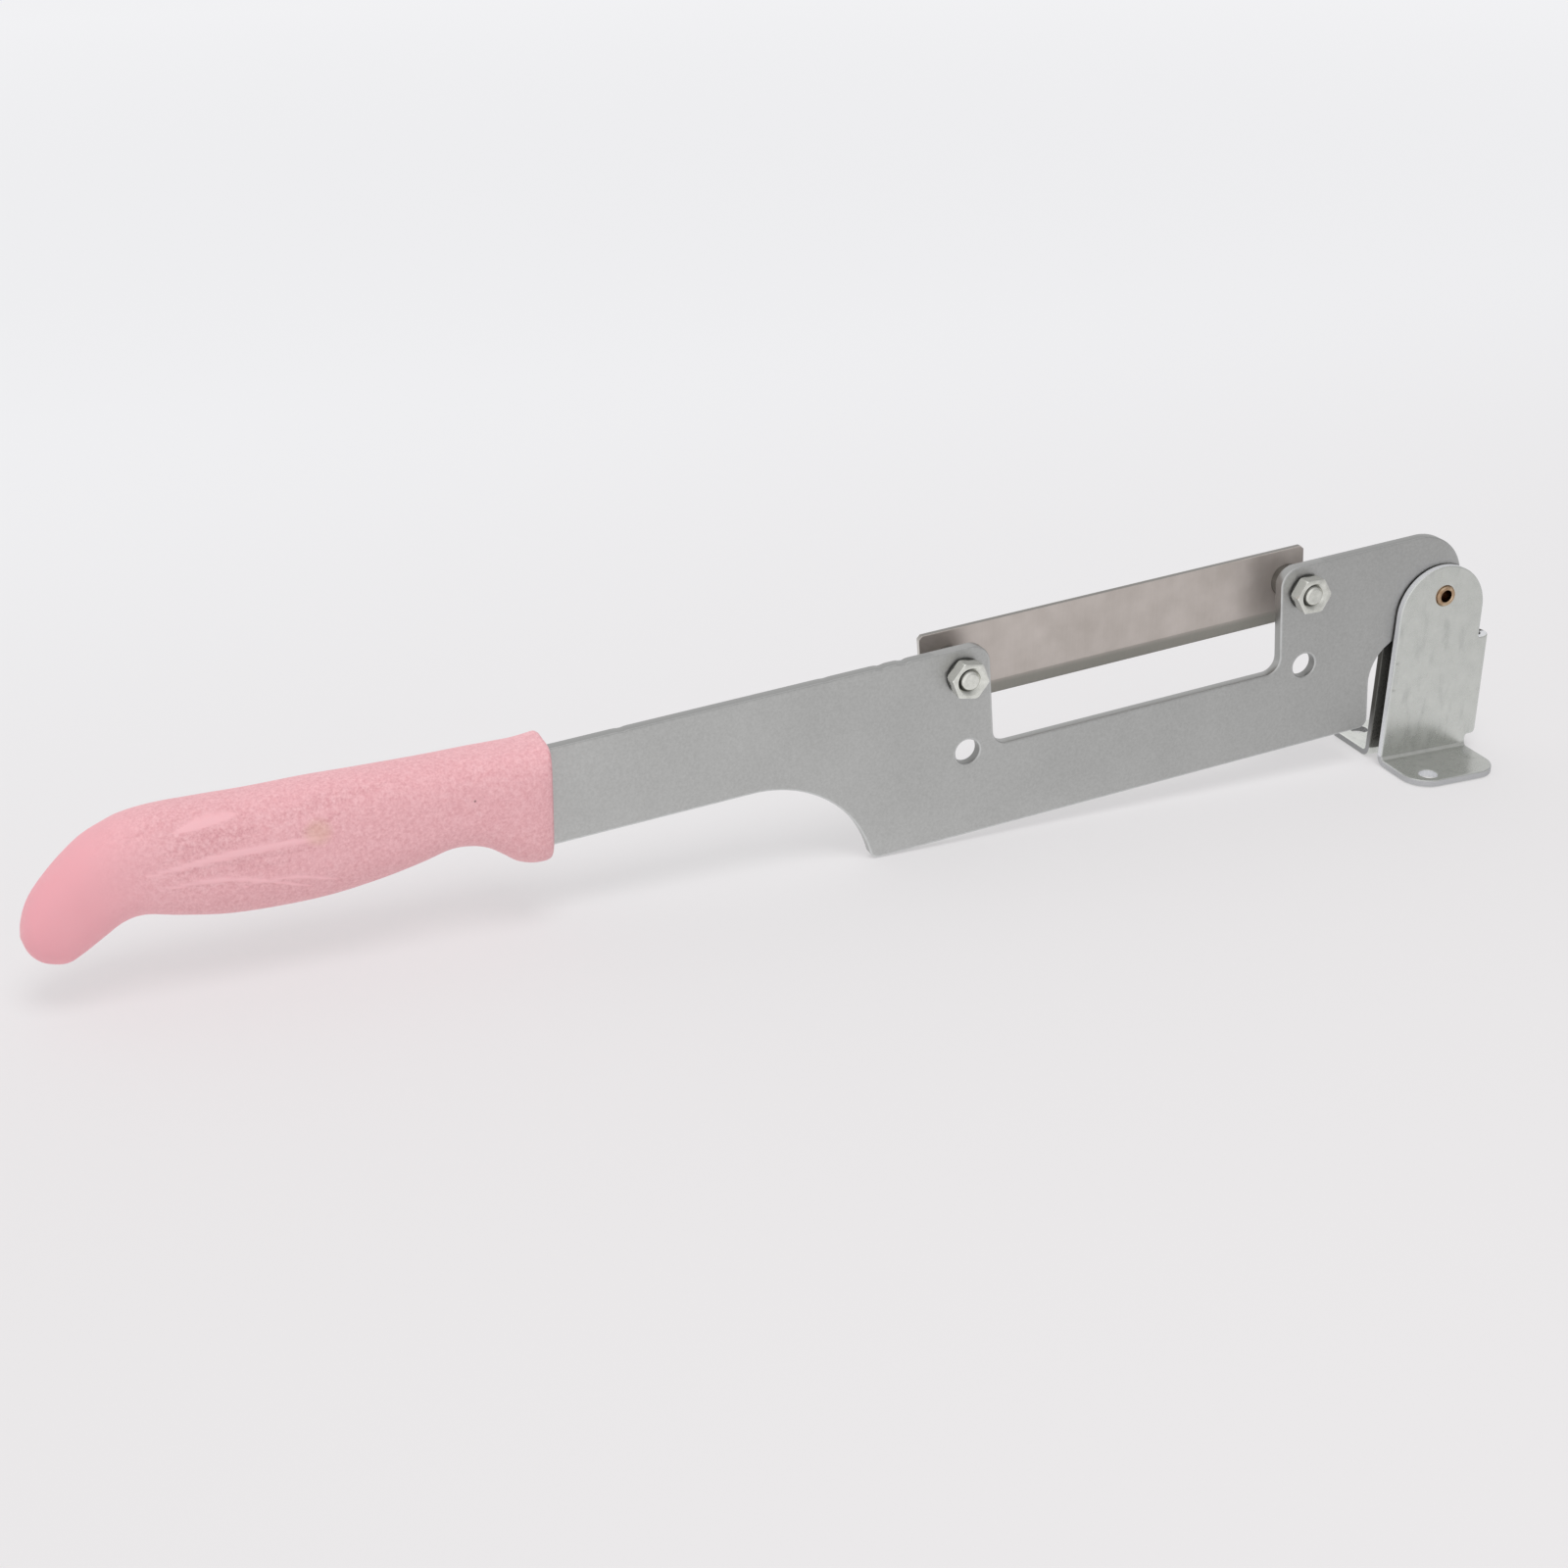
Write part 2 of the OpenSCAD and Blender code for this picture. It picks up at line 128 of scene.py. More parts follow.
# Outlines, in millimetres on a flat sheet: how close their points lie, how many are handled at a time, how
# near two places count as one, and a length too small to matter
fineness = {
    "arc": 0.45, "hole": 0.3, "relief": 0.2, "leastArc": 5, "chunk": 1000,
    "same": 1e-6, "weld": 1e-7, "least": 1e-9,
}


# Arc about a centre, with points no further apart than step
def arc(cx, cy, radius, start, end, step=fineness["arc"]):
    count = max(fineness["leastArc"], int(abs(math.radians(end - start)) * radius / step) + 1)
    turn = np.radians(np.linspace(start, end, count))
    return np.column_stack([cx + radius * np.cos(turn), cy + radius * np.sin(turn)])


def hole(cx, cy, radius):
    return arc(cx, cy, radius, 360, 0, fineness["hole"])[:-1]


def chunks(points):
    return np.array_split(np.arange(len(points)), len(points) // fineness["chunk"] + 1)


# Joins points and arcs into one closed loop, with long straights cut into steps
def loopOf(parts, step):
    corners = np.vstack([np.atleast_2d(part) for part in parts])
    ahead = np.roll(corners, -1, 0)
    spans = np.linalg.norm(ahead - corners, axis=1)
    keep = spans > fineness["same"]
    stretches = []
    for a, b, span in zip(corners[keep], ahead[keep], spans[keep]):
        count = max(1, round(span / step))
        stretches.append(a + (b - a) * np.arange(count)[:, None] / count)
    return np.vstack(stretches)


# True for points inside the loops, counting how often a ray crosses them
def insideLoops(points, loops):
    found = np.zeros(len(points), bool)
    for chunk in chunks(points):
        px, py = points[chunk, 0:1], points[chunk, 1:2]
        for loop in loops:
            x0, y0 = loop.T
            x1, y1 = np.roll(loop, -1, 0).T
            rise = np.where(y1 == y0, fineness["least"], y1 - y0)
            crossing = ((y0 > py) != (y1 > py)) & (px < (x1 - x0) * (py - y0) / rise + x0)
            found[chunk] ^= crossing.sum(1) % 2 == 1
    return found


# Grid points inside the loops and at least clear away from them
def innerPoints(loops, us, vs, clear):
    points = np.stack(np.meshgrid(us, vs, indexing="ij"), -1).reshape(-1, 2)
    points = points[insideLoops(points, loops)]
    rim = np.vstack(loops)
    far = [np.linalg.norm(points[chunk, None] - rim[None], axis=2).min(1) > clear for chunk in chunks(points)]
    return points[np.concatenate(far)]


# Triangles that fill the outer loop and leave the holes, through the inner points
def fillFlat(loops, inner):
    points = np.vstack(loops + [inner])
    edges = []
    for loop in loops:
        own = len(edges) + np.arange(len(loop))
        edges += np.column_stack([own, np.roll(own, -1)]).tolist()
    made = delaunay_2d_cdt([Vector(p) for p in points.tolist()], edges, [], 0, fineness["weld"])
    source = np.array([ids[0] for ids in made[3]])
    triangles = source[np.array(made[2])]
    return triangles[insideLoops(points[triangles].mean(1), loops)]


# Sheet of even thickness: a profile with rounded corners carried along each loop, and two flat faces.
# Gives points (along, depth, up), faces, and four marks: rim is 1 on the rounded corners and on the wall
# between them, wall is 1 on the wall alone, crest is 1 on the part of the wall that faces up, where the
# front corner has no rim, and bore is 1 on the walls of the holes. The materials paint shade on the crest.
def sheetSolid(loops, thick, edge, gridU, gridV):
    land, clear, cornerSteps = 0.25, 0.45, 5
    turn = np.linspace(0, math.pi / 2, cornerSteps)
    corner = np.column_stack([edge * (1 - np.sin(turn)), edge * (1 - np.cos(turn)) - thick / 2])
    face = np.array([[edge + land, -thick / 2]])
    profile = np.vstack([face, corner, corner[::-1] * [1, -1], face * [1, -1]])
    rows = len(profile)
    rimRows = np.array([0.0] + [1.0] * (rows - 2) + [0.0])
    wallRows = (np.abs(np.arange(rows) - (rows - 1) / 2) < 1) * 1.0
    frontRows = (np.arange(rows) < rows / 2) * 1.0
    points, faces, rings, fronts, backs = [], [], [], [], []
    marks = {"rim": [], "wall": [], "crest": [], "bore": []}
    start = 0
    for loop in loops:
        count = len(loop)
        travel = np.roll(loop, -1, 0) - np.roll(loop, 1, 0)
        inward = np.column_stack([-travel[:, 1], travel[:, 0]])
        inward = inward / np.linalg.norm(inward, axis=1, keepdims=True)
        flat = loop[None] + profile[:, 0, None, None] * inward[None]
        depth = np.repeat(profile[:, 1], count).reshape(rows, count, 1)
        points.append(np.concatenate([flat[..., :1], depth, flat[..., 1:]], -1).reshape(-1, 3))
        faces += (np.array(ringFaces(rows, count)) + start).tolist()
        # Painted light on the walls: the rim's highlight is left off the front corner of up-facing walls, and
        # crest marks where they take painted shade
        facingUp = np.clip(-inward[:, 1], 0, 1)
        marks["rim"].append((rimRows[:, None] * (1 - frontRows[:, None] * facingUp)).ravel())
        marks["wall"].append(np.repeat(wallRows, count))
        marks["crest"].append((wallRows[:, None] * facingUp).ravel())
        marks["bore"].append(np.repeat(wallRows, count) * (loop is not loops[0]))
        rings.append(flat[0])
        fronts.append(start + np.arange(count))
        backs.append(start + (rows - 1) * count + np.arange(count))
        start += rows * count
    inner = innerPoints(rings, gridU, gridV, clear)
    triangles = fillFlat(rings, inner)
    for side, ringIds in ((-1, fronts), (1, backs)):
        points.append(np.column_stack([inner[:, 0], np.full(len(inner), side * thick / 2), inner[:, 1]]))
        ids = np.concatenate(ringIds + [start + np.arange(len(inner))])
        faces += ids[triangles].tolist()
        for values in marks.values():
            values.append(np.zeros(len(inner)))
        start += len(inner)
    return np.vstack(points), faces, {name: np.concatenate(values) for name, values in marks.items()}


# Colours and shader parts

# Linear colour of a screen colour
def tint(red, green, blue):
    screen = np.array([red, green, blue]) / 255
    linear = np.where(screen < 0.04045, screen / 12.92, ((screen + 0.055) / 1.055) ** 2.4)
    return (*linear.tolist(), 1.0)


# Links sockets to a node's inputs, and sets plain values on them
def feed(tree, node, inputs):
    for key, value in inputs.items():
        if isinstance(value, bpy.types.NodeSocket):
            tree.links.new(value, node.inputs[key])
        else:
            node.inputs[key].default_value = value


def put(tree, kind, inputs=None, **settings):
    node = tree.nodes.new(kind)
    for key, value in settings.items():
        setattr(node, key, value)
    feed(tree, node, inputs or {})
    return node


def reckon(tree, operation, *values, clamp=False):
    node = put(tree, "ShaderNodeMath", dict(enumerate(values)), operation=operation, use_clamp=clamp)
    return node.outputs[0]


def times(tree, first, second):
    return reckon(tree, "MULTIPLY", first, second)


# Colour that goes from first to second as the mask goes from 0 to 1
def mixColour(tree, mask, first, second, kind="MIX"):
    node = put(tree, "ShaderNodeMix", {0: mask, 6: first, 7: second}, data_type="RGBA", blend_type=kind)
    return node.outputs[2]


# Value that goes from first to second as the mask goes from 0 to 1
def blend(tree, mask, first, second):
    return put(tree, "ShaderNodeMix", {0: mask, 2: first, 3: second}, data_type="FLOAT").outputs[0]


# Value that goes from low to high as the given one goes from start to end
def ranged(tree, value, start, end, low=0.0, high=1.0, curve="LINEAR"):
    inputs = {"Value": value, "From Min": start, "From Max": end, "To Min": low, "To Max": high}
    return put(tree, "ShaderNodeMapRange", inputs, interpolation_type=curve).outputs[0]


def effect(tree, group, **inputs):
    return put(tree, "ShaderNodeGroup", inputs, node_tree=group).outputs["Mask"]


def startGroup(name, **inputs):
    tree = bpy.data.node_groups.new(name, "ShaderNodeTree")
    for label, value in inputs.items():
        kind = "NodeSocketVector" if isinstance(value, tuple) else "NodeSocketFloat"
        tree.interface.new_socket(name=label, in_out="INPUT", socket_type=kind).default_value = value
    tree.interface.new_socket(name="Mask", in_out="OUTPUT", socket_type="NodeSocketFloat")
    return tree, tree.nodes.new("NodeGroupInput").outputs, tree.nodes.new("NodeGroupOutput")


# Soft patches, 0 to 1, about 1 / Scale metres across, finer along an axis with a larger Stretch
def cloudingGroup():
    tree, given, out = startGroup(
        "clouding", Vector=(0, 0, 0), Stretch=(1, 1, 1), Scale=80.0, Detail=3.0, Contrast=1.6)
    drawn = put(tree, "ShaderNodeVectorMath", {0: given["Vector"], 1: given["Stretch"]}, operation="MULTIPLY")
    noise = put(tree, "ShaderNodeTexNoise", {
        "Vector": drawn.outputs[0], "Scale": given["Scale"], "Detail": given["Detail"], "Roughness": 0.55})
    centred = reckon(tree, "SUBTRACT", noise.outputs[0], 0.5)
    spread = reckon(tree, "MULTIPLY_ADD", centred, given["Contrast"], 0.5, clamp=True)
    feed(tree, out, {"Mask": spread})
    return tree


# Rim of wear and painted light: the rim mark broken up by a fine patchiness, which leaves a share of it
# everywhere
def rimWearAndLightGroup():
    leastShare = 0.4
    tree, given, out = startGroup("rimWearAndLight", Vector=(0, 0, 0), Rim=0.0, Scale=500.0, Amount=1.0)
    patch = effect(tree, clouding, Vector=given["Vector"], Scale=given["Scale"])
    onRim = times(tree, blend(tree, patch, leastShare, 1.0), given["Rim"])
    feed(tree, out, {"Mask": reckon(tree, "MULTIPLY", onRim, given["Amount"], clamp=True)})
    return tree


clouding = cloudingGroup()
rimWearAndLight = rimWearAndLightGroup()
print("node groups made")


def startMaterial(name):
    material = bpy.data.materials.new(name)
    material.use_nodes = True
    tree = material.node_tree
    put(tree, "ShaderNodeTexCoord", name="place")
    return material, tree, tree.nodes["Principled BSDF"]


def placeIn(tree):
    return tree.nodes["place"].outputs["Object"]


def mark(tree, name):
    return put(tree, "ShaderNodeAttribute", attribute_name=name).outputs["Fac"]


def clouds(tree, inputs):
    return effect(tree, clouding, Vector=placeIn(tree), **inputs)


# Tone with a colour of its own on each marked part
def painted(tree, tone, marked):
    for markName, colour in marked.items():
        tone = mixColour(tree, mark(tree, markName), tone, colour)
    return tone


# Metal of two tones that mingle in clouds. A look lays on what else it has in this order: the colours of
# marked parts, a grey pattern, smudges where its spots are strong, a rim of wear and painted light, the
# painted shade of sheltered parts, and a cut wall with marked parts of its own. Several marked parts carry
# painted light or shade. The parts that matt names are less metallic.
def metalMaterial(name, look):
    material, tree, shader = startMaterial(name)
    heights = {"cloud": clouds(tree, look["cloud"])}
    tone = painted(tree, mixColour(tree, heights["cloud"], *look["tones"]), look.get("marked", {}))
    rough = blend(tree, heights["cloud"], *look["rough"])
    metal = 1.0
    if "pattern" in look:
        heights["pattern"] = clouds(tree, look["pattern"])
        grey = put(tree, "ShaderNodeCombineColor", {channel: heights["pattern"] for channel in (0, 1, 2)})
        tone = mixColour(tree, look["patternAmount"], tone, grey.outputs[0], "OVERLAY")
    if "spots" in look:
        smudges = ranged(tree, clouds(tree, look["spots"]), *look["spotRange"])
        tone = mixColour(tree, smudges, tone, look["smudge"])
    if "wall" in look:
        wearAndLight = effect(tree, rimWearAndLight, Vector=placeIn(tree), Rim=mark(tree, "rim"), Amount=look["wearAndLight"])
        tone = painted(tree, mixColour(tree, wearAndLight, tone, look["rim"]), look.get("sheltered", {}))
        wall = mark(tree, "wall")
        tone = mixColour(tree, wall, tone, painted(tree, look["wall"], look["wallMarked"]))
        if "wallRough" in look:
            rough = blend(tree, wall, rough, look["wallRough"])
    if "matt" in look:
        matt = 0.0
        for markName in look["matt"]:
            matt = reckon(tree, "MAXIMUM", mark(tree, markName), matt)
        metal = blend(tree, matt, 1.0, look["mattMetal"])
    inputs = {"Strength": look["bump"], "Distance": look["bumpDeep"], "Height": heights[look["bumpFrom"]]}
    feed(tree, shader, {
        "Base Color": tone, "Roughness": rough, "Metallic": metal,
        "Normal": put(tree, "ShaderNodeBump", inputs).outputs[0]})
    return material


# Satin steel of the arm plate: fine blasted grain and faint clouds, a duller sheared wall, bright corners
# that are a painted highlight, and painted shade on the up-facing wall (crest) and in the bolt holes (bore)
satinSteel = {
    "tones": (tint(186, 186, 185), tint(197, 197, 196)), "cloud": {"Scale": 45.0},
    "pattern": {"Scale": 1700.0, "Detail": 2.0, "Contrast": 2.0}, "patternAmount": 0.08,
    "rim": tint(216, 217, 217), "wearAndLight": 1.1, "wall": tint(166, 166, 165),
    "wallMarked": {"crest": tint(156, 156, 155), "bore": tint(132, 132, 131)},
    "rough": (0.40, 0.48), "wallRough": 0.3, "bump": 0.12, "bumpDeep": 0.00005, "bumpFrom": "pattern",
}

# Ground blade: warm stainless, softly clouded, with faint grinding lines across its length, a bevel darkened
# with painted shade, painted shade on the up-facing wall, and less metallic from the middle towards the
# pivot, which lightens its dark reflection there
groundSteel = {
    "tones": (tint(199, 190, 184), tint(220, 211, 206)), "cloud": {"Scale": 110.0, "Contrast": 2.0},
    "marked": {"bevel": tint(181, 178, 171)},
    "pattern": {"Scale": 420.0, "Stretch": (8.0, 1.0, 0.25)}, "patternAmount": 0.03,
    "rim": tint(150, 146, 142), "wearAndLight": 0.7, "wall": tint(206, 203, 199),
    "wallMarked": {"crest": tint(148, 145, 141)}, "matt": ["film"], "mattMetal": 0.7,
    "rough": (0.42, 0.50), "bump": 0.02, "bumpDeep": 0.00002, "bumpFrom": "pattern",
}

# Zinc-plated sheet of the bracket: finely mottled with faint smudges drawn out up and down, bright corners
# that are partly a painted highlight, a pale matt wall where the sheet was cut, with painted shade on the cut
# walls of the front foot and the rear half, and painted shade on the matt faces inside and on the front
# foot's top.
# spotRange gives the spots' values at which the smudges start and are full, and their weight there.
paintedShadeZinc = tint(58, 56, 50)
zincSheet = {
    "tones": (tint(214, 216, 212), tint(229, 230, 226)),
    "cloud": {"Scale": 260.0, "Detail": 5.0, "Contrast": 1.8},
    "pattern": {"Scale": 1400.0, "Detail": 2.0, "Contrast": 2.0}, "patternAmount": 0.05,
    "spots": {"Scale": 330.0, "Contrast": 2.2, "Stretch": (1.0, 1.0, 0.3)},
    "spotRange": (0.6, 1.1, 0.0, 0.4), "smudge": tint(174, 176, 174),
    "rim": tint(226, 228, 227), "wearAndLight": 1.0, "sheltered": {"inside": paintedShadeZinc},
    "wall": tint(232, 233, 236), "wallMarked": {"shade": paintedShadeZinc},
    "matt": ["inside", "wall"], "mattMetal": 0.3,
    "rough": (0.24, 0.32), "wallRough": 0.5, "bump": 0.025, "bumpDeep": 0.00008, "bumpFrom": "cloud",
}

# Bright zinc of the nuts and bolts, with painted highlights on the brims, duller flats, and painted shade
# darkening the threads
zincFastener = {
    "tones": (tint(208, 208, 202), tint(242, 242, 236)),
    "cloud": {"Scale": 500.0, "Detail": 4.0, "Contrast": 2.0},
    "marked": {"brimHighlight": tint(254, 254, 250), "flat": tint(212, 212, 206), "thread": tint(88, 88, 83)},
    "matt": ["flat"], "mattMetal": 0.65,
    "rough": (0.10, 0.20), "bump": 0.08, "bumpDeep": 0.00006, "bumpFrom": "cloud",
}

# Dark steel: dark on the washers, and greyer on the spacers, which lightens their dark reflection in the
# blade
darkSteel = {
    "tones": (tint(66, 66, 64), tint(96, 96, 93)), "cloud": {"Scale": 700.0, "Contrast": 2.0},
    "rough": (0.4, 0.55), "bump": 0.1, "bumpDeep": 0.00005, "bumpFrom": "cloud",
}
greySteel = {
    **darkSteel, "tones": (tint(124, 123, 119), tint(150, 149, 145)),
    "cloud": {"Scale": 500.0, "Contrast": 2.0},
}

# Copper of the pivot pin, tarnished in patches, and dark brown inside its bore with painted shade
copper = {
    "tones": (tint(222, 198, 170), tint(172, 138, 108)), "cloud": {"Scale": 600.0, "Contrast": 2.4},
    "marked": {"bore": tint(112, 82, 58)},
    "rough": (0.18, 0.34), "bump": 0.1, "bumpDeep": 0.00006, "bumpFrom": "cloud",
}


# Pink moulded plastic: a sandy grain that fades where it is polished and darkens where it is coarse. The
# underside is greyer with painted shade, the tail is a fuller pink, what turns away from the flanks takes a
# fuller pink as painted shade, and the raised streaks are paler. Each marked part has a colour and a weight.
# Each spot has its share of the grip's length, its height and its size in millimetres.
pinkPlastic = {
    "tones": (tint(240, 176, 183), tint(249, 188, 195)), "specks": (tint(204, 138, 145), tint(255, 220, 222)),
    "marked": {
        "under": (tint(231, 175, 178), 0.45), "tail": (tint(242, 168, 178), 0.7),
        "ridge": (tint(255, 206, 211), 0.6), "turnedShade": (tint(228, 148, 160), 0.2),
    },
    "spots": [
        {"share": 0.448, "height": 14.4, "size": 4.2, "colour": tint(216, 184, 140), "weight": 0.28},
        {"share": 0.151, "height": 12.6, "size": 0.5, "colour": tint(120, 76, 78), "weight": 1.0},
    ],
    "spotCore": 0.3, "cloud": {"Scale": 35.0}, "sand": {"Scale": 1000.0, "Contrast": 3.0},
    "grain": {"Scale": 1900.0, "Detail": 2.0, "Contrast": 3.0}, "grainShare": 0.5,
    "amount": (0.42, 0.54), "coarseDrop": 0.12,
    "rough": (0.42, 0.58), "specular": 0.4, "glow": 0.08, "glowReach": (0.002, 0.001, 0.001),
    "bump": 0.3, "bumpDeep": 0.0001,
}


# Soft round spot on the near flank of the grip: full in the middle and 0 at its edge
def gripSpot(tree, spot):
    middle = np.array([-grip["front"] - spot["share"] * grip["length"], -grip["thick"] / 2, spot["height"]])
    far = put(tree, "ShaderNodeVectorMath", {0: placeIn(tree), 1: tuple(onLever(middle) * mm)},
              operation="DISTANCE")
    edge = spot["size"] * mm
    return ranged(tree, far.outputs["Value"], edge, edge * pinkPlastic["spotCore"], 0.0, spot["weight"],
                  "SMOOTHSTEP")


def pinkPlasticMaterial():
    look = pinkPlastic
    material, tree, shader = startMaterial("pinkPlastic")
    cloud, sand, grain = (clouds(tree, look[name]) for name in ("cloud", "sand", "grain"))
    tone = mixColour(tree, cloud, *look["tones"])
    for markName, (colour, weight) in look["marked"].items():
        tone = mixColour(tree, times(tree, mark(tree, markName), weight), tone, colour)
    coarse = mark(tree, "coarse")
    sandy = reckon(tree, "SUBTRACT", 1.0, mark(tree, "polish"))
    mixed = blend(tree, look["grainShare"], sand, grain)
    light = reckon(tree, "SUBTRACT", mixed, times(tree, coarse, look["coarseDrop"]), clamp=True)
    amount = times(tree, blend(tree, coarse, *look["amount"]), sandy)
    tone = mixColour(tree, amount, tone, mixColour(tree, light, *look["specks"]))
    for spot in look["spots"]:
        tone = mixColour(tree, gripSpot(tree, spot), tone, spot["colour"])
    bump = {"Strength": look["bump"], "Distance": look["bumpDeep"], "Height": times(tree, light, sandy)}
    feed(tree, shader, {
        "Base Color": tone, "Roughness": blend(tree, sand, *look["rough"]),
        "Specular IOR Level": look["specular"], "Subsurface Weight": look["glow"],
        "Subsurface Radius": look["glowReach"], "Normal": put(tree, "ShaderNodeBump", bump).outputs[0]})
    return material


# Arm plate: one sheet with a neck and tang, an open window for the slice and a hinge tongue
plate = {
    "thick": 3.0, "top": 17.2, "depth": 51.2, "edge": 0.35, "corner": 2.5,
    "tongueDepth": 26.8, "tongueReach": 6.2, "heel": 21.6, "heelRound": 12.0,
    "sweepAt": 197.5, "sweepRound": 30.0, "neckDepth": 24.8,
    "neckEnd": 248.0, "neckLean": 6.0, "tangLength": 72.0, "tangDepth": 14.0, "tangRise": 3.6,
    "tangRound": 1.0,
    "windowLand": 7.3, "windowDepth": 28.4, "windowRound": 4.0, "lipRound": 5.0,
    "pivotBore": 5.6, "boltHole": 6.6, "spareDrop": 21.0,
    "nicks": [(-227.9, 0.22), (-176.0, 0.14), (-161.5, 0.3), (-155.6, 0.4)], "nickWidth": 0.9,
    "step": 0.8, "gridAlong": (-322.0, 8.0, 2.5), "gridUp": (-36.0, 20.0, 2.5),
}


def plateLoops():
    p = plate
    top, low = p["top"], p["top"] - p["depth"]
    neckLow = top - p["neckDepth"]
    neckMid = top - p["neckDepth"] / 2
    gripMid = neckMid + grip["rise"]
    sweepV = neckLow - p["sweepRound"]
    tongueRound = p["tongueDepth"] / 2
    tongueLow = top - p["tongueDepth"]
    tangLow = neckMid + p["tangRise"] - p["tangDepth"] / 2
    tangTop = tangLow + p["tangDepth"]
    tangEnd = -p["neckEnd"] - p["tangLength"]
    lean = math.tan(math.radians(p["neckLean"]))
    right = pivotBolt[0] - p["windowLand"]
    left = handleBolt[0] + p["windowLand"]
    floor = top - p["windowDepth"]
    w, lip, tip = p["windowRound"], p["lipRound"], p["tangRound"]
    # The toe's round touches the sweep and the bottom edge
    toeV = low + p["corner"]
    toeU = -p["sweepAt"] + math.sqrt((p["sweepRound"] + p["corner"]) ** 2 - (toeV - sweepV) ** 2)
    touch = math.degrees(math.atan2(toeV - sweepV, toeU + p["sweepAt"]))

    def neckEndU(v):
        return -p["neckEnd"] + lean * (v - gripMid)

    outline = loopOf([
        arc(tangEnd + tip, tangLow + tip, tip, 180, 270),
        (neckEndU(tangLow), tangLow), (neckEndU(neckLow), neckLow),
        arc(-p["sweepAt"], sweepV, p["sweepRound"], 90, touch),
        arc(toeU, toeV, p["corner"], 180 + touch, 270),
        arc(-p["heel"] - p["corner"], low + p["corner"], p["corner"], 270, 360),
        arc(-p["heel"] + p["heelRound"], tongueLow - p["heelRound"], p["heelRound"], 180, 90),
        arc(p["tongueReach"] - tongueRound, top - tongueRound, tongueRound, -90, 90),
        arc(right + lip, top - lip, lip, 90, 180),
        arc(right - w, floor + w, w, 0, -90),
        arc(left + w, floor + w, w, -90, -180),
        arc(left - lip, top - lip, lip, 0, 90),
        (neckEndU(top), top), (neckEndU(tangTop), tangTop),
        arc(tangEnd + tip, tangTop - tip, tip, 90, 180),
    ], p["step"])
    # Small dents along the top edge: smooth dips of a given depth
    onTop = np.abs(outline[:, 1] - top) < fineness["same"]
    for place, depth in p["nicks"]:
        outline[:, 1] -= onTop * depth * np.exp(-((outline[:, 0] - place) / p["nickWidth"]) ** 2)
    holes = [hole(0, 0, p["pivotBore"] / 2)]
    for bolt in (pivotBolt, handleBolt):
        holes.append(hole(bolt[0], bolt[2], p["boltHole"] / 2))
        holes.append(hole(bolt[0], bolt[2] - p["spareDrop"], p["boltHole"] / 2))
    return [outline] + holes


def makePlate(material):
    points, faces, marks = sheetSolid(plateLoops(), plate["thick"], plate["edge"],
                                      np.arange(*plate["gridAlong"]), np.arange(*plate["gridUp"]))
    # The top wall is paler where the blade stands behind it: there the painted shade of its up-facing part is
    # left off, as a painted highlight
    left, right = bladeEnds()
    marks["crest"] = marks["crest"] * ((points[:, 0] < left) | (points[:, 0] > right))
    makePiece("armPlateSheet", onLever(points), faces, "arm_plate", "lever", material,
              marks=marks)


# Blade: a straight strip whose front face is ground back to the edge at the bottom
blade = {
    "length": 110.7, "lead": 1.0, "height": 20.6, "holeDrop": 8.5, "thick": 1.5, "gap": 6.5,
    "bevel": 4.1, "edgeThick": 0.2, "cut": 0.9, "edge": 0.12, "hole": 6.4,
    "nib": 0.5, "step": 0.6, "grid": 1.5, "bevelGrid": 0.9, "bevelLand": 0.08, "bevelClear": (0.5, 1.0),
    "bevelSharp": 20.0, "frontShare": 0.4,
}


# The blade lies a little nearer the handle than the middle of its bolts
def bladeEnds():
    middle = (pivotBolt[0] + handleBolt[0]) / 2 - blade["lead"]
    return middle - blade["length"] / 2, middle + blade["length"] / 2


def makeBlade(material):
    b = blade
    left, right = bladeEnds()
    middle = (left + right) / 2
    top = pivotBolt[2] + b["holeDrop"]
    low = top - b["height"]
    nib = b["nib"]
    outline = loopOf([
        arc(left + nib, low + nib, nib, 180, 270), arc(right - nib, low + nib, nib, 270, 360),
        (right, top - b["cut"]), (right - b["cut"], top), (left + b["cut"], top), (left, top - b["cut"]),
    ], b["step"])
    loops = [outline] + [hole(bolt[0], bolt[2], b["hole"] / 2) for bolt in (pivotBolt, handleBolt)]
    gridU = np.arange(left, right, b["grid"])
    bevelTop = low + b["bevel"]
    below, above = b["bevelClear"]
    gridV = np.concatenate([np.arange(low, bevelTop - below, b["bevelGrid"]),
                            [bevelTop - b["bevelLand"], bevelTop + b["bevelLand"]],
                            np.arange(bevelTop + above, top, b["grid"])])
    points, faces, marks = sheetSolid(loops, b["thick"], b["edge"], gridU, gridV)
    # Below the bevel line the front face slopes back until only the edge thickness is left
    ground = ramp(bevelTop - points[:, 2], 0, b["bevel"])
    front = 0.5 - points[:, 1] / b["thick"]
    points[:, 1] += plate["thick"] / 2 + b["gap"] + b["thick"] / 2
    points[:, 1] += ground * front * (b["thick"] - b["edgeThick"])
    # The bevel mark carries painted shade on the ground face
    marks["bevel"] = np.clip(ground * b["bevelSharp"], 0, 1) * (front > b["frontShare"])
    # Less metallic towards the pivot end, which lightens the blade's dark reflection there
    marks["film"] = ramp(points[:, 0], middle, right - middle)
    makePiece("bladeStrip", onLever(points), faces, "blade", "lever", material, marks=marks)


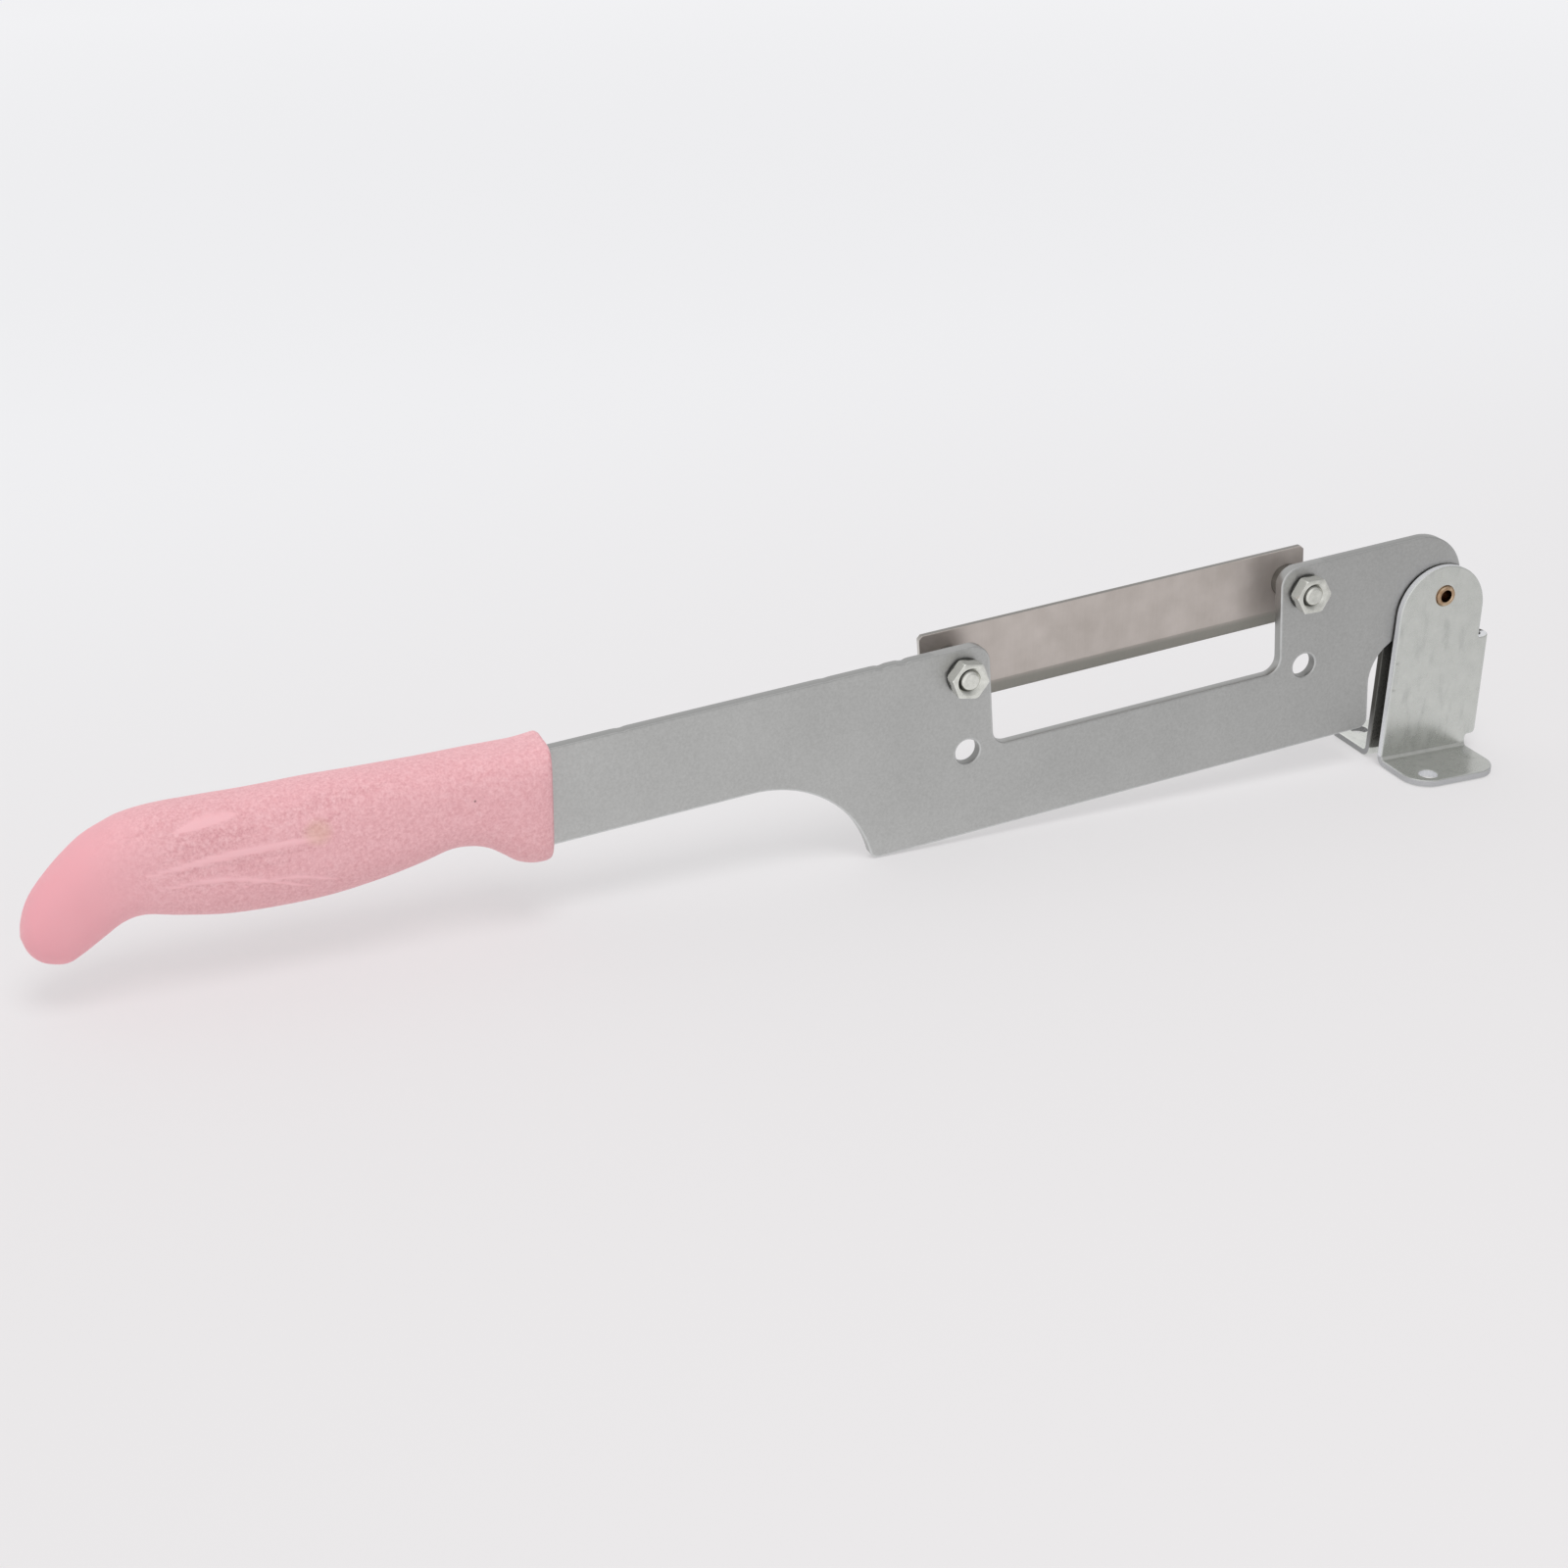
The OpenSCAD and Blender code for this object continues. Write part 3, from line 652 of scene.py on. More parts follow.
# Hinge bracket: one blank of sheet, folded out at both feet and bent round in a U at the web
bracket = {
    "thick": 2.0, "edge": 0.3, "earIn": 1.8, "earWidth": 27.2, "taper": 1.0, "earShift": 0.9, "crown": 8.3,
    "webReach": 1.0, "webDrop": 13.8, "webLift": 5.0, "webCut": 1.2, "foldRound": 1.0, "footLength": 16.6,
    "frontRound": 7.0, "rearRound": 3.0, "screwHole": 5.0, "screwReach": 16.0, "pivotHole": 5.54,
    "relief": 0.6, "footShade": 0.38, "rearShade": 0.6, "shadeRise": 12.0,
    "insideShade": 0.85, "footTopShade": 0.26, "screwRim": 0.1, "slack": 0.02,
    "step": 0.5, "grid": 1.4, "bendGrid": 0.4, "foldGrid": 0.3, "bendSteps": 25,
    "foldSpan": (0.2, 0.3), "foldClear": (0.5, 0.8),
}


def makeBracket(material):
    k = bracket
    earMid = k["earIn"] + k["thick"] / 2
    foldMid = k["foldRound"] + k["thick"] / 2
    foldTop = k["foldRound"] + k["thick"]
    foldArc = foldMid * math.pi / 2
    middle = pivotPoint[0] - k["earShift"]
    left, right = middle - k["earWidth"] / 2, middle + k["earWidth"] / 2
    bendStart = right + k["webReach"]
    bendArc = earMid * math.pi
    rear = bendStart + bendArc + k["webReach"]
    webTop = pivotPoint[2] - k["webDrop"]
    crownRound = (k["earWidth"] - k["taper"]) / 2
    crownUp = pivotPoint[2] + k["crown"] - crownRound
    # The free edge leans in from the fold until it touches the round top
    run, climb = k["earWidth"] - crownRound, crownUp - foldTop
    lean = math.degrees(math.atan2(climb, run) + math.asin(crownRound / math.hypot(run, climb)))

    # Height on the flat blank of a point of the foot that lies reach from the middle of the bracket
    def footHeight(reach):
        return foldTop - foldArc - (reach - earMid - foldMid)

    footLow = footHeight(k["earIn"] + k["thick"] + k["footLength"])
    f, r, n, fine = k["frontRound"], k["rearRound"], k["relief"], fineness["relief"]
    # The web's lower edge rises a little round the outside of the bend
    bendSteps = np.linspace(0, math.pi, k["bendSteps"])
    rise = ramp(earMid * np.sin(bendSteps), earMid + k["thick"] / 2 - 2 * k["webCut"], 2 * k["webCut"])
    webEdge = np.column_stack([bendStart + earMid * bendSteps, k["webLift"] + k["webCut"] * rise])
    outline = loopOf([
        arc(left + f, footLow + f, f, 180, 270), arc(right - f, footLow + f, f, 270, 360),
        arc(right + n, k["webLift"] - n, n, 180, 90, fine),
        webEdge,
        arc(rear - n, k["webLift"] - n, n, 90, 0, fine),
        arc(rear + r, footLow + r, r, 180, 270), arc(rear + k["earWidth"] - r, footLow + r, r, 270, 360),
        (rear + k["earWidth"], foldTop), arc(rear + crownRound, crownUp, crownRound, 90 - lean, 180),
        arc(rear - n, webTop + n, n, 0, -90, fine),
        arc(right + n, webTop + n, n, 270, 180, fine),
        arc(right - crownRound, crownUp, crownRound, 0, 90 + lean), (left, foldTop),
    ], k["step"])
    # Each hole of the front half has its twin on the rear half
    screwUp = footHeight(k["screwReach"])
    loops = [outline]
    for place, high, wide in ((pivotPoint[0], pivotPoint[2], k["pivotHole"]), (0, screwUp, k["screwHole"])):
        loops += [hole(place, high, wide / 2), hole(rear + right - place, high, wide / 2)]
    # Grid lines lie closer where the blank bends than on its flats
    grid, foldLow = k["grid"], foldTop - foldArc
    (spanLow, spanTop), (clearLow, clearTop) = k["foldSpan"], k["foldClear"]
    gridU = np.concatenate([np.arange(left, right, grid), np.arange(right, rear, k["bendGrid"]),
                            np.arange(rear, rear + k["earWidth"], grid)])
    gridV = np.concatenate([np.arange(footLow, foldLow - clearLow, grid),
                            np.arange(foldLow - spanLow, foldTop + spanTop, k["foldGrid"]),
                            np.arange(foldTop + clearTop, crownUp + crownRound, grid)])
    points, faces, marks = sheetSolid(loops, k["thick"], k["edge"], gridU, gridV)
    along, outward, up = points[:, 0], -points[:, 1], points[:, 2]
    # Painted shade on the cut edges: palest on the front ear and darkest high on the rear ear, behind the
    # plate
    rearHalf = along > bendStart + bendArc / 2
    foot = up < foldTop
    climbed = ramp(up, foldTop, k["shadeRise"])
    fromScrew = np.hypot(along, up - screwUp)
    frontShade = (foot & (fromScrew > k["screwHole"] / 2 + k["screwRim"])) * k["footShade"]
    rearShade = k["rearShade"] + (1 - k["rearShade"]) * climbed
    marks["shade"] = np.where(rearHalf, rearShade, frontShade)
    # The rim's painted highlight is left off the rear half, behind the plate
    marks["rim"] = marks["rim"] * ~rearHalf
    # Painted shade inside the fold and on the front foot's top
    innerFace = outward < k["edge"] + k["slack"] - k["thick"] / 2
    footTop = (outward > k["thick"] / 2 - k["edge"] - k["slack"]) & ~rearHalf
    marks["inside"] = np.where(foot, footTop * k["footTopShade"], innerFace * k["insideShade"])
    # Each foot turns out through a quarter circle, then the web turns the blank back through a half circle
    fold = np.clip((foldTop - up) / foldMid, 0, math.pi / 2)
    tail = np.maximum(foldTop - up - foldArc, 0)
    reach = earMid + foldMid - (foldMid - outward) * np.cos(fold) + tail
    height = np.maximum(up, foldTop) - (foldMid - outward) * np.sin(fold)
    bend = np.clip((along - bendStart) / earMid, 0, math.pi)
    after = np.maximum(along - bendStart - bendArc, 0)
    folded = np.column_stack([
        np.minimum(along, bendStart) + reach * np.sin(bend) - after, -reach * np.cos(bend), height])
    makePiece("bracketFold", folded, faces, "hinge_bracket", "stand", material, marks=marks)


# Turned pieces: rows of radius and depth, each one number or one for every step, carried round an axis across
# the plate

def fullTurn(count):
    return np.arange(count) * 2 * math.pi / count


def roundAxis(rows, centre, count):
    radii, depths = (np.vstack([np.broadcast_to(row[i], count) for row in rows]) for i in (0, 1))
    turn = fullTurn(count)
    return (np.stack([radii * np.cos(turn), depths, radii * np.sin(turn)], -1) + centre).reshape(-1, 3)


# Tube with rounded ends: an inner and an outer wall joined by quarter rounds
tube = {"steps": 72, "roundSteps": 6, "crease": 50.0, "boreSlack": 0.05}


def tubeProfile(inner, outer, low, high, innerRound, outerRound):
    turn = np.linspace(0, math.pi / 2, tube["roundSteps"])
    rows = []
    for radius, depth, bend, out, side in (
            (outer, high, outerRound, 1, 1), (inner, high, innerRound, -1, 1),
            (inner, low, innerRound, -1, -1), (outer, low, outerRound, 1, -1)):
        steps = turn[::out * side]
        rows.append(np.column_stack([
            radius - out * bend * (1 - np.cos(steps)), depth - side * bend * (1 - np.sin(steps))]))
    return np.vstack(rows)


# The bore mark is 1 on the inner wall
def makeTube(name, profile, points, node, body, material):
    bore = np.repeat(profile[:, 0] < profile[:, 0].min() + tube["boreSlack"], tube["steps"])
    makePiece(name, points, ringFaces(len(profile), tube["steps"], joined=True), node, body,
              material, creaseAngle=tube["crease"], marks={"bore": bore})


# Pivot pin: a hollow rivet with rolled rims
pin = {"outer": 2.75, "bore": 1.6, "half": 4.5, "boreRound": 0.45, "rim": 0.5}


def makePin(material):
    profile = tubeProfile(pin["bore"], pin["outer"], -pin["half"], pin["half"], pin["boreRound"], pin["rim"])
    makeTube("pivotRivet", profile, roundAxis(profile, pivotPoint, tube["steps"]), "pivot_pin", "stand",
             material)


# Blade fixing: bolt, nut, washer and spacer at each end. The bolt's end is dished, and the painted shade on
# its thread starts a little way in. The threads' painted shade is deepest on the side towards the handle.
fixing = {
    "washerOut": 4.7, "washerIn": 3.2, "washerThick": 0.8, "washerRounds": (0.1, 0.25),
    "spacerOut": 4.4, "spacerIn": 3.2, "spacerRounds": (0.15, 0.2),
    "flats": 8.8, "hexPower": 70, "chamfer": 30.0, "soft": 0.06, "softShares": (0.2, 0.6, 3),
    "faceRound": 0.555, "nutHeight": 3.4, "sink": 0.55, "boreClear": 0.08,
    "headHeight": 4.0, "headRound": 0.94, "headInner": 0.6, "proud": 0.2, "tip": 1.0, "tipLand": 0.15,
    "eye": 0.05, "eyeDeep": 0.12, "dishRound": 1.2, "dishDeep": 0.1,
    "thread": 2.95, "pitch": 1.0, "pitchSteps": 8, "threadDepth": 0.55, "threadFlat": 0.2,
    "threadStart": 0.05, "threadLength": 14.0, "runOut": 0.5, "shadeFreeTip": 0.6,
    "threadShade": 0.55, "threadShadeSwing": 0.45,
    "turns": {"handle_end": -13.0, "pivot_end": -4.0, "head": 0.0}, "steps": 144, "crease": 40.0,
}


# Radius of a hexagon with softened corners: a high-power mean of the distances to its six sides
def hexRadius(turn, offset):
    sides = np.radians(offset + 30 + 60 * np.arange(6))
    power = fixing["hexPower"]
    lean = np.maximum(np.cos(turn[:, None] - sides[None]), 0)
    return fixing["flats"] / 2 / (lean ** power).sum(1) ** (1 / power)


# Thread: the radius falls from crest to root once a pitch and winds round with the angle
def threadRadius(turn, depths, crest):
    phase = (depths[:, None] / fixing["pitch"] - turn[None] / (2 * math.pi)) % 1
    flat = fixing["threadFlat"]
    return crest - fixing["threadDepth"] * np.clip(np.abs(2 * phase - 1) * (1 + 2 * flat) - flat, 0, 1)


# Eight rows of a hexagon, from one chamfered face to the other, with rims that round off over shares of soft
def hexRows(turn, low, high, offset, lowFace, highFace):
    corner = hexRadius(turn, offset)
    soft = fixing["soft"]
    softOut, softDrop, softRun = (soft * share for share in fixing["softShares"])
    rows = []
    for depth, side, face in ((low, 1, lowFace), (high, -1, highFace)):
        rim = np.minimum(face, corner)
        drop = np.maximum(corner - face, 0) * math.tan(math.radians(fixing["chamfer"]))
        half = [(rim - soft, depth), (rim + softOut, depth + side * softDrop),
                (corner, depth + side * (drop + soft)), (corner, depth + side * (drop + softRun))]
        rows += half[::side]
    return rows


# Mark that is 1 on some rows of a turned piece, or takes a value of its own at each step round them
def rowMark(rows, first, last, around=1.0):
    row = np.arange(rows)[:, None]
    return (((row >= first) & (row < last)) * np.broadcast_to(around, fixing["steps"])).ravel()


# Nut, whose rows join into a ring, or bolt, whose ends are capped
def makeHexPiece(name, rows, joined, centre, node, material, spans):
    count = fixing["steps"]
    makePiece(name, onLever(roundAxis(rows, centre, count)),
              ringFaces(len(rows), count, joined=joined, capped=not joined), node, "lever",
              material, creaseAngle=fixing["crease"],
              marks={markName: rowMark(len(rows), *span) for markName, span in spans.items()})


def makeFixing(end, zinc, dark, spacerSteel):
    x = fixing
    centre = boltPlace(end)
    half = plate["thick"] / 2
    label = "handleEnd" if end == "handle_end" else "pivotEnd"
    nutBase = -half - x["washerThick"]
    nutFace = nutBase - x["nutHeight"]
    bladeFront = half + blade["gap"]
    bladeBack = bladeFront + blade["thick"]
    headBack = bladeBack + x["headHeight"]
    washer = tubeProfile(x["washerIn"], x["washerOut"], nutBase, -half, *x["washerRounds"])
    spacer = tubeProfile(x["spacerIn"], x["spacerOut"], half, bladeFront, *x["spacerRounds"])
    for kind, profile, material in (("washer", washer, dark), ("spacer", spacer, spacerSteel)):
        points = onLever(roundAxis(profile, centre, tube["steps"]))
        makeTube(label + kind.capitalize(), profile, points, end + "_" + kind, "lever",
                 material)
    turn = fullTurn(x["steps"])
    threadStep = x["pitch"] / x["pitchSteps"]
    face = x["flats"] * x["faceRound"]
    # Painted shade on the threads, deepest on the side towards the handle
    threadShade = x["threadShade"] - x["threadShadeSwing"] * np.cos(turn)
    # Rows of a hexagon: its first brim, its flats and its last brim start and end here
    brimFrom, flatFrom, flatTo, brimTo = 1, 3, 5, 7

    # Nut: hexagon outside, then back through the countersunk, threaded bore
    bore = np.arange(nutBase - x["sink"], nutFace + x["sink"], -threadStep)
    mouth = x["thread"] + x["sink"]
    threads = threadRadius(turn, bore, x["thread"] + x["boreClear"])
    rows = hexRows(turn, nutFace, nutBase, x["turns"][end], face, face) + [(mouth, nutBase)]
    threadFrom = len(rows)
    rows += list(zip(threads, bore)) + [(mouth, nutFace)]
    makeHexPiece(label + "HexNut", rows, True, centre, end + "_nut", zinc, {
        "thread": (threadFrom, len(rows) - 1, threadShade), "brimHighlight": (brimFrom, flatFrom),
        "flat": (flatFrom, flatTo)})

    # Bolt: chamfered end, thread, plain shank, then the hexagon head behind the blade
    tip = nutFace - x["proud"]
    tipRound = x["thread"] - x["tip"]
    run = np.arange(tip + x["threadStart"], tip + x["threadLength"], threadStep)
    threads = np.minimum(threadRadius(turn, run, x["thread"]), tipRound + (run - tip)[:, None])
    rows = [(x["eye"], tip + x["eyeDeep"]), (x["dishRound"], tip + x["dishDeep"]),
            (tipRound - x["tipLand"], tip)]
    threadFrom = len(rows) + int(x["tip"] * x["shadeFreeTip"] / threadStep)
    rows += list(zip(threads, run))
    threadTo = len(rows)
    rows += [(x["thread"], run[-1] + x["runOut"]), (x["thread"], bladeBack)]
    head = len(rows)
    rows += hexRows(turn, bladeBack, headBack, x["turns"]["head"], face, face * x["headRound"])
    rows += [(face * x["headInner"], headBack), (x["eye"], headBack)]
    makeHexPiece(label + "HexBolt", rows, False, centre, end + "_bolt", zinc, {
        "thread": (threadFrom, threadTo, threadShade), "brimHighlight": (head + flatTo, head + brimTo),
        "flat": (head + flatFrom, head + flatTo)})


# Grip: squared ovals carried from the bolster to the tail, then in through the tang's pocket.
# Each station gives the share of the length, of the height above and below the grip's middle,
# of the thickness, and how square the oval is.
grip = {
    "front": 248.0, "lean": 6.0, "rise": 0.6, "length": 120.0, "height": 32.0, "thick": 19.0,
    "rows": 300, "sides": 180, "leanFade": 8, "pocketClear": 0.1, "pocketSquare": 12,
    "faceRows": (0.3, 0.65, 1.0),
    # Where each mark starts and over how far it grows: shares of the normal, of the length, and millimetres
    "flank": (0.35, 0.4), "polish": (0.72, 0.14), "tail": (0.76, 0.2), "under": (-2.0, 12.0), "underEnd": 0.8,
    "streakEnd": 0.02, "streakTaper": 0.7, "streakLeast": 0.05, "streakSharp": 2.0,
    "stations": [
        (0.000, 0.436, 0.412, 0.79, 5.6), (0.006, 0.446, 0.438, 0.91, 5.0), (0.020, 0.446, 0.454, 0.97, 4.2),
        (0.048, 0.447, 0.448, 1.00, 3.6), (0.077, 0.457, 0.408, 1.00, 3.3), (0.101, 0.465, 0.337, 1.00, 3.1),
        (0.130, 0.473, 0.256, 0.99, 3.0), (0.163, 0.480, 0.208, 0.98, 2.9), (0.205, 0.490, 0.195, 0.97, 2.8),
        (0.263, 0.507, 0.245, 0.97, 2.7), (0.346, 0.533, 0.296, 0.98, 2.6), (0.446, 0.561, 0.321, 1.00, 2.6),
        (0.546, 0.580, 0.308, 1.00, 2.5), (0.637, 0.605, 0.265, 1.00, 2.5), (0.720, 0.623, 0.184, 0.99, 2.5),
        (0.778, 0.608, 0.116, 0.98, 2.5), (0.818, 0.566, 0.130, 0.97, 2.5), (0.858, 0.510, 0.213, 0.94, 2.4),
        (0.898, 0.410, 0.297, 0.89, 2.4), (0.930, 0.315, 0.350, 0.82, 2.3), (0.961, 0.205, 0.330, 0.70, 2.2),
        (0.981, 0.100, 0.280, 0.56, 2.2), (0.994, -0.005, 0.205, 0.36, 2.0),
        (1.000, -0.095, 0.105, 0.04, 2.0),
    ],
    # Moulded streaks: share of the length and height of the root and of the tip, half width, bow and rise.
    # Those that rise are polished, and those that sink are coarse.
    "streaks": [
        (0.55, 18.4, 0.70, 20.0, 0.8, 0.4, -0.05), (0.55, 18.0, 0.73, 17.8, 0.8, 0.6, -0.05),
        (0.55, 17.6, 0.74, 15.8, 0.8, 0.5, -0.05), (0.56, 17.0, 0.71, 14.2, 0.7, 0.2, -0.05),
        (0.63, 27.0, 0.70, 23.0, 0.5, 0.0, -0.09), (0.63, 27.0, 0.55, 18.4, 0.5, 0.6, -0.09),
        (0.53, 19.2, 0.28, 23.0, 0.9, 0.4, -0.04), (0.53, 18.6, 0.29, 20.6, 0.9, 0.4, -0.04),
        (0.51, 14.0, 0.39, 17.4, 0.8, 0.2, -0.04), (0.74, 13.0, 0.45, 10.8, 0.6, 0.5, -0.04),
        (0.71, 11.4, 0.47, 8.4, 0.9, 0.5, -0.05), (0.80, 21.0, 0.66, 25.6, 0.5, 0.6, -0.06),
        (0.77, 13.8, 0.43, 13.0, 1.0, 0.8, 0.10), (0.75, 9.8, 0.47, 0.8, 0.6, 2.8, 0.16),
        (0.70, 21.6, 0.58, 22.0, 1.2, 0.4, 0.08), (0.60, 5.8, 0.42, 1.0, 0.5, 1.8, 0.12),
    ],
}


# Smooth curve through the stations: each span is a cubic set by its four nearest stations
def gripStations(steps):
    table = np.array(grip["stations"])
    last = len(table) - 1
    i = np.minimum(np.floor(steps).astype(int), last - 1)
    t = (steps - i)[:, None]
    a, b, c, d = (table[np.clip(i + k, 0, last)] for k in (-1, 0, 1, 2))
    return b + 0.5 * t * (c - a + t * (2 * a - 5 * b + 4 * c - d + t * (3 * (b - c) + d - a)))


def squared(value, power):
    return np.sign(value) * np.abs(value) ** (2 / power)


# Streaks: each bows from root to tip and narrows at both ends. Gives the rise, and how polished and coarse.
def streakMarks(share, height):
    relief, polish, coarse = np.zeros_like(share), np.zeros_like(share), np.zeros_like(share)
    for rootS, rootV, tipS, tipV, half, bow, rise in grip["streaks"]:
        t = (share - rootS) / (tipS - rootS)
        within = np.clip(t, 0, 1)
        line = rootV + (tipV - rootV) * within + bow * np.sin(math.pi * within)
        inner = np.clip(within, grip["streakEnd"], 1 - grip["streakEnd"])
        width = half * np.sin(math.pi * inner) ** grip["streakTaper"] + grip["streakLeast"]
        body = np.clip(1 - ((height - line) / width) ** 2, 0, 1) * ((t > 0) & (t < 1))
        relief += rise * np.sqrt(body)
        covered = polish if rise > 0 else coarse
        np.maximum(covered, np.clip(body * grip["streakSharp"], 0, 1), out=covered)
    return relief, polish, coarse


def makeGrip(material):
    g = grip
    count = g["sides"]
    turn = fullTurn(count)
    neckMid = plate["top"] - plate["neckDepth"] / 2
    gripMid = neckMid + g["rise"]
    steps = np.linspace(len(g["stations"]) - 1, 0, g["rows"])
    s = gripStations(steps)
    share = s[:, 0:1]
    up, down = s[:, 1:2] * g["height"], -s[:, 2:3] * g["height"]
    slope = math.tan(math.radians(g["lean"]))
    lean = slope * (1 - share) ** g["leanFade"]
    y = s[:, 3:4] * g["thick"] / 2 * squared(np.cos(turn)[None], s[:, 4:5])
    z = (up + down + (up - down) * squared(np.sin(turn)[None], s[:, 4:5])) / 2
    body = np.stack([-g["front"] - share * g["length"] + lean * z, y, gripMid + z], -1)
    # The streaks rise and sink on both flat sides, along the surface's own normal
    rowWay = np.gradient(body, axis=0)
    ringWay = np.roll(body, -1, 1) - np.roll(body, 1, 1)
    normal = np.cross(ringWay, rowWay)
    normal = normal / (np.linalg.norm(normal, axis=2, keepdims=True) + fineness["least"])
    normal = normal * np.sign((normal[..., 1] * body[..., 1]).sum())
    flank = ramp(np.abs(normal[..., 1]), *g["flank"])
    relief, polish, coarse = streakMarks(np.broadcast_to(share, z.shape), body[..., 2])
    body = body + normal * (relief * flank)[..., None]
    ridge = polish * flank
    # Painted shade on what turns away from the flanks
    turnedShade = 1 - np.abs(normal[..., 1])
    polish = np.maximum(ridge, ramp(share, *g["polish"]))
    # Front face, then the pocket: rows shrink to the tang's outline and run back to its end
    tangMid = neckMid + plate["tangRise"]
    clear, square = g["pocketClear"], g["pocketSquare"]
    pocketY = (plate["thick"] / 2 + clear) * squared(np.cos(turn), square)
    pocketZ = tangMid + (plate["tangDepth"] / 2 + clear) * squared(np.sin(turn), square)
    front = body[-1]
    faceRows = []
    for blendIn in g["faceRows"]:
        yy = front[:, 1] + (pocketY - front[:, 1]) * blendIn
        zz = front[:, 2] + (pocketZ - front[:, 2]) * blendIn
        faceRows.append(np.column_stack([-g["front"] + slope * (zz - gripMid), yy, zz]))
    end = -g["front"] - plate["tangLength"] - clear
    faceRows.append(np.column_stack([np.full(count, end), pocketY, pocketZ]))
    points = np.vstack([body.reshape(-1, 3)] + faceRows)
    rows = g["rows"] + len(faceRows)
    plain = np.zeros(count * len(faceRows))
    # Painted shade on the underside
    under = ramp(gripMid - body[..., 2], *g["under"]) * (share < g["underEnd"])
    tail = np.broadcast_to(ramp(share, *g["tail"]), z.shape)
    spread = {"polish": polish, "coarse": coarse * flank, "under": under, "tail": tail, "ridge": ridge,
              "turnedShade": turnedShade}
    marks = {name: np.append(values.ravel(), plain) for name, values in spread.items()}
    makePiece("gripMoulding", onLever(points), ringFaces(rows, count, capped=True), "handle_grip", "lever",
              material, marks=marks)


makePlate(metalMaterial("satinSteel", satinSteel))
makeBlade(metalMaterial("groundSteel", groundSteel))
makeBracket(metalMaterial("zincSheet", zincSheet))
makePin(metalMaterial("copper", copper))
fixingLooks = {"zincFastener": zincFastener, "darkSteel": darkSteel, "greySteel": greySteel}
fixingMaterials = [metalMaterial(name, look) for name, look in fixingLooks.items()]
for end in ("handle_end", "pivot_end"):
    makeFixing(end, *fixingMaterials)
makeGrip(pinkPlasticMaterial())
print("pieces made")

# Camera: place in metres, heading from +Y towards +X, dip below level and roll in degrees, focal length and
# frame in pixels, sensor width in millimetres
view = {
    "place": (-0.36434, -0.46567, 0.26308), "heading": 21.653, "dip": 25.484, "roll": -0.254,
    "focal": 2325.4, "frame": 1600.0, "sensor": 36.0, "nearest": 0.01,
}


def makeCamera():
    heading, dip, roll = (math.radians(view[key]) for key in ("heading", "dip", "roll"))
    ahead = Vector((math.sin(heading) * math.cos(dip), math.cos(heading) * math.cos(dip), -math.sin(dip)))
    right = Vector((math.cos(heading), -math.sin(heading), 0))
    upward = right.cross(ahead)
    side = right * math.cos(roll) + upward * math.sin(roll)
    top = upward * math.cos(roll) - right * math.sin(roll)
    data = bpy.data.cameras.new("camera")
    data.sensor_width = view["sensor"]
    data.lens = view["focal"] / view["frame"] * view["sensor"]
    data.clip_start = view["nearest"]
    camera = addObject("camera", data)
    turn = Matrix((side, top, -ahead)).transposed().to_4x4()
    camera.matrix_world = Matrix.Translation(Vector(view["place"])) @ turn
    scene.camera = camera


# Pale table that runs to the horizon, lighter and cooler further back. The camera sees part of its colour
# unshaded, and more of it far off, so that its shadows stay faint. The metals see white at the left of it,
# which fades towards the right. Each span gives where it starts and ends in metres, then the values there.
table = {
    "half": 60.0, "drop": -0.0002, "near": tint(235, 233, 234), "far": tint(246, 246, 248),
    "cooling": (-0.1, 0.5), "unshaded": (0.3, 1.8, 0.5, 0.85), "mirrored": 0.9,
    "level": (-0.30, 0.12, 1.0, 0.63),
}
white = (1, 1, 1, 1)


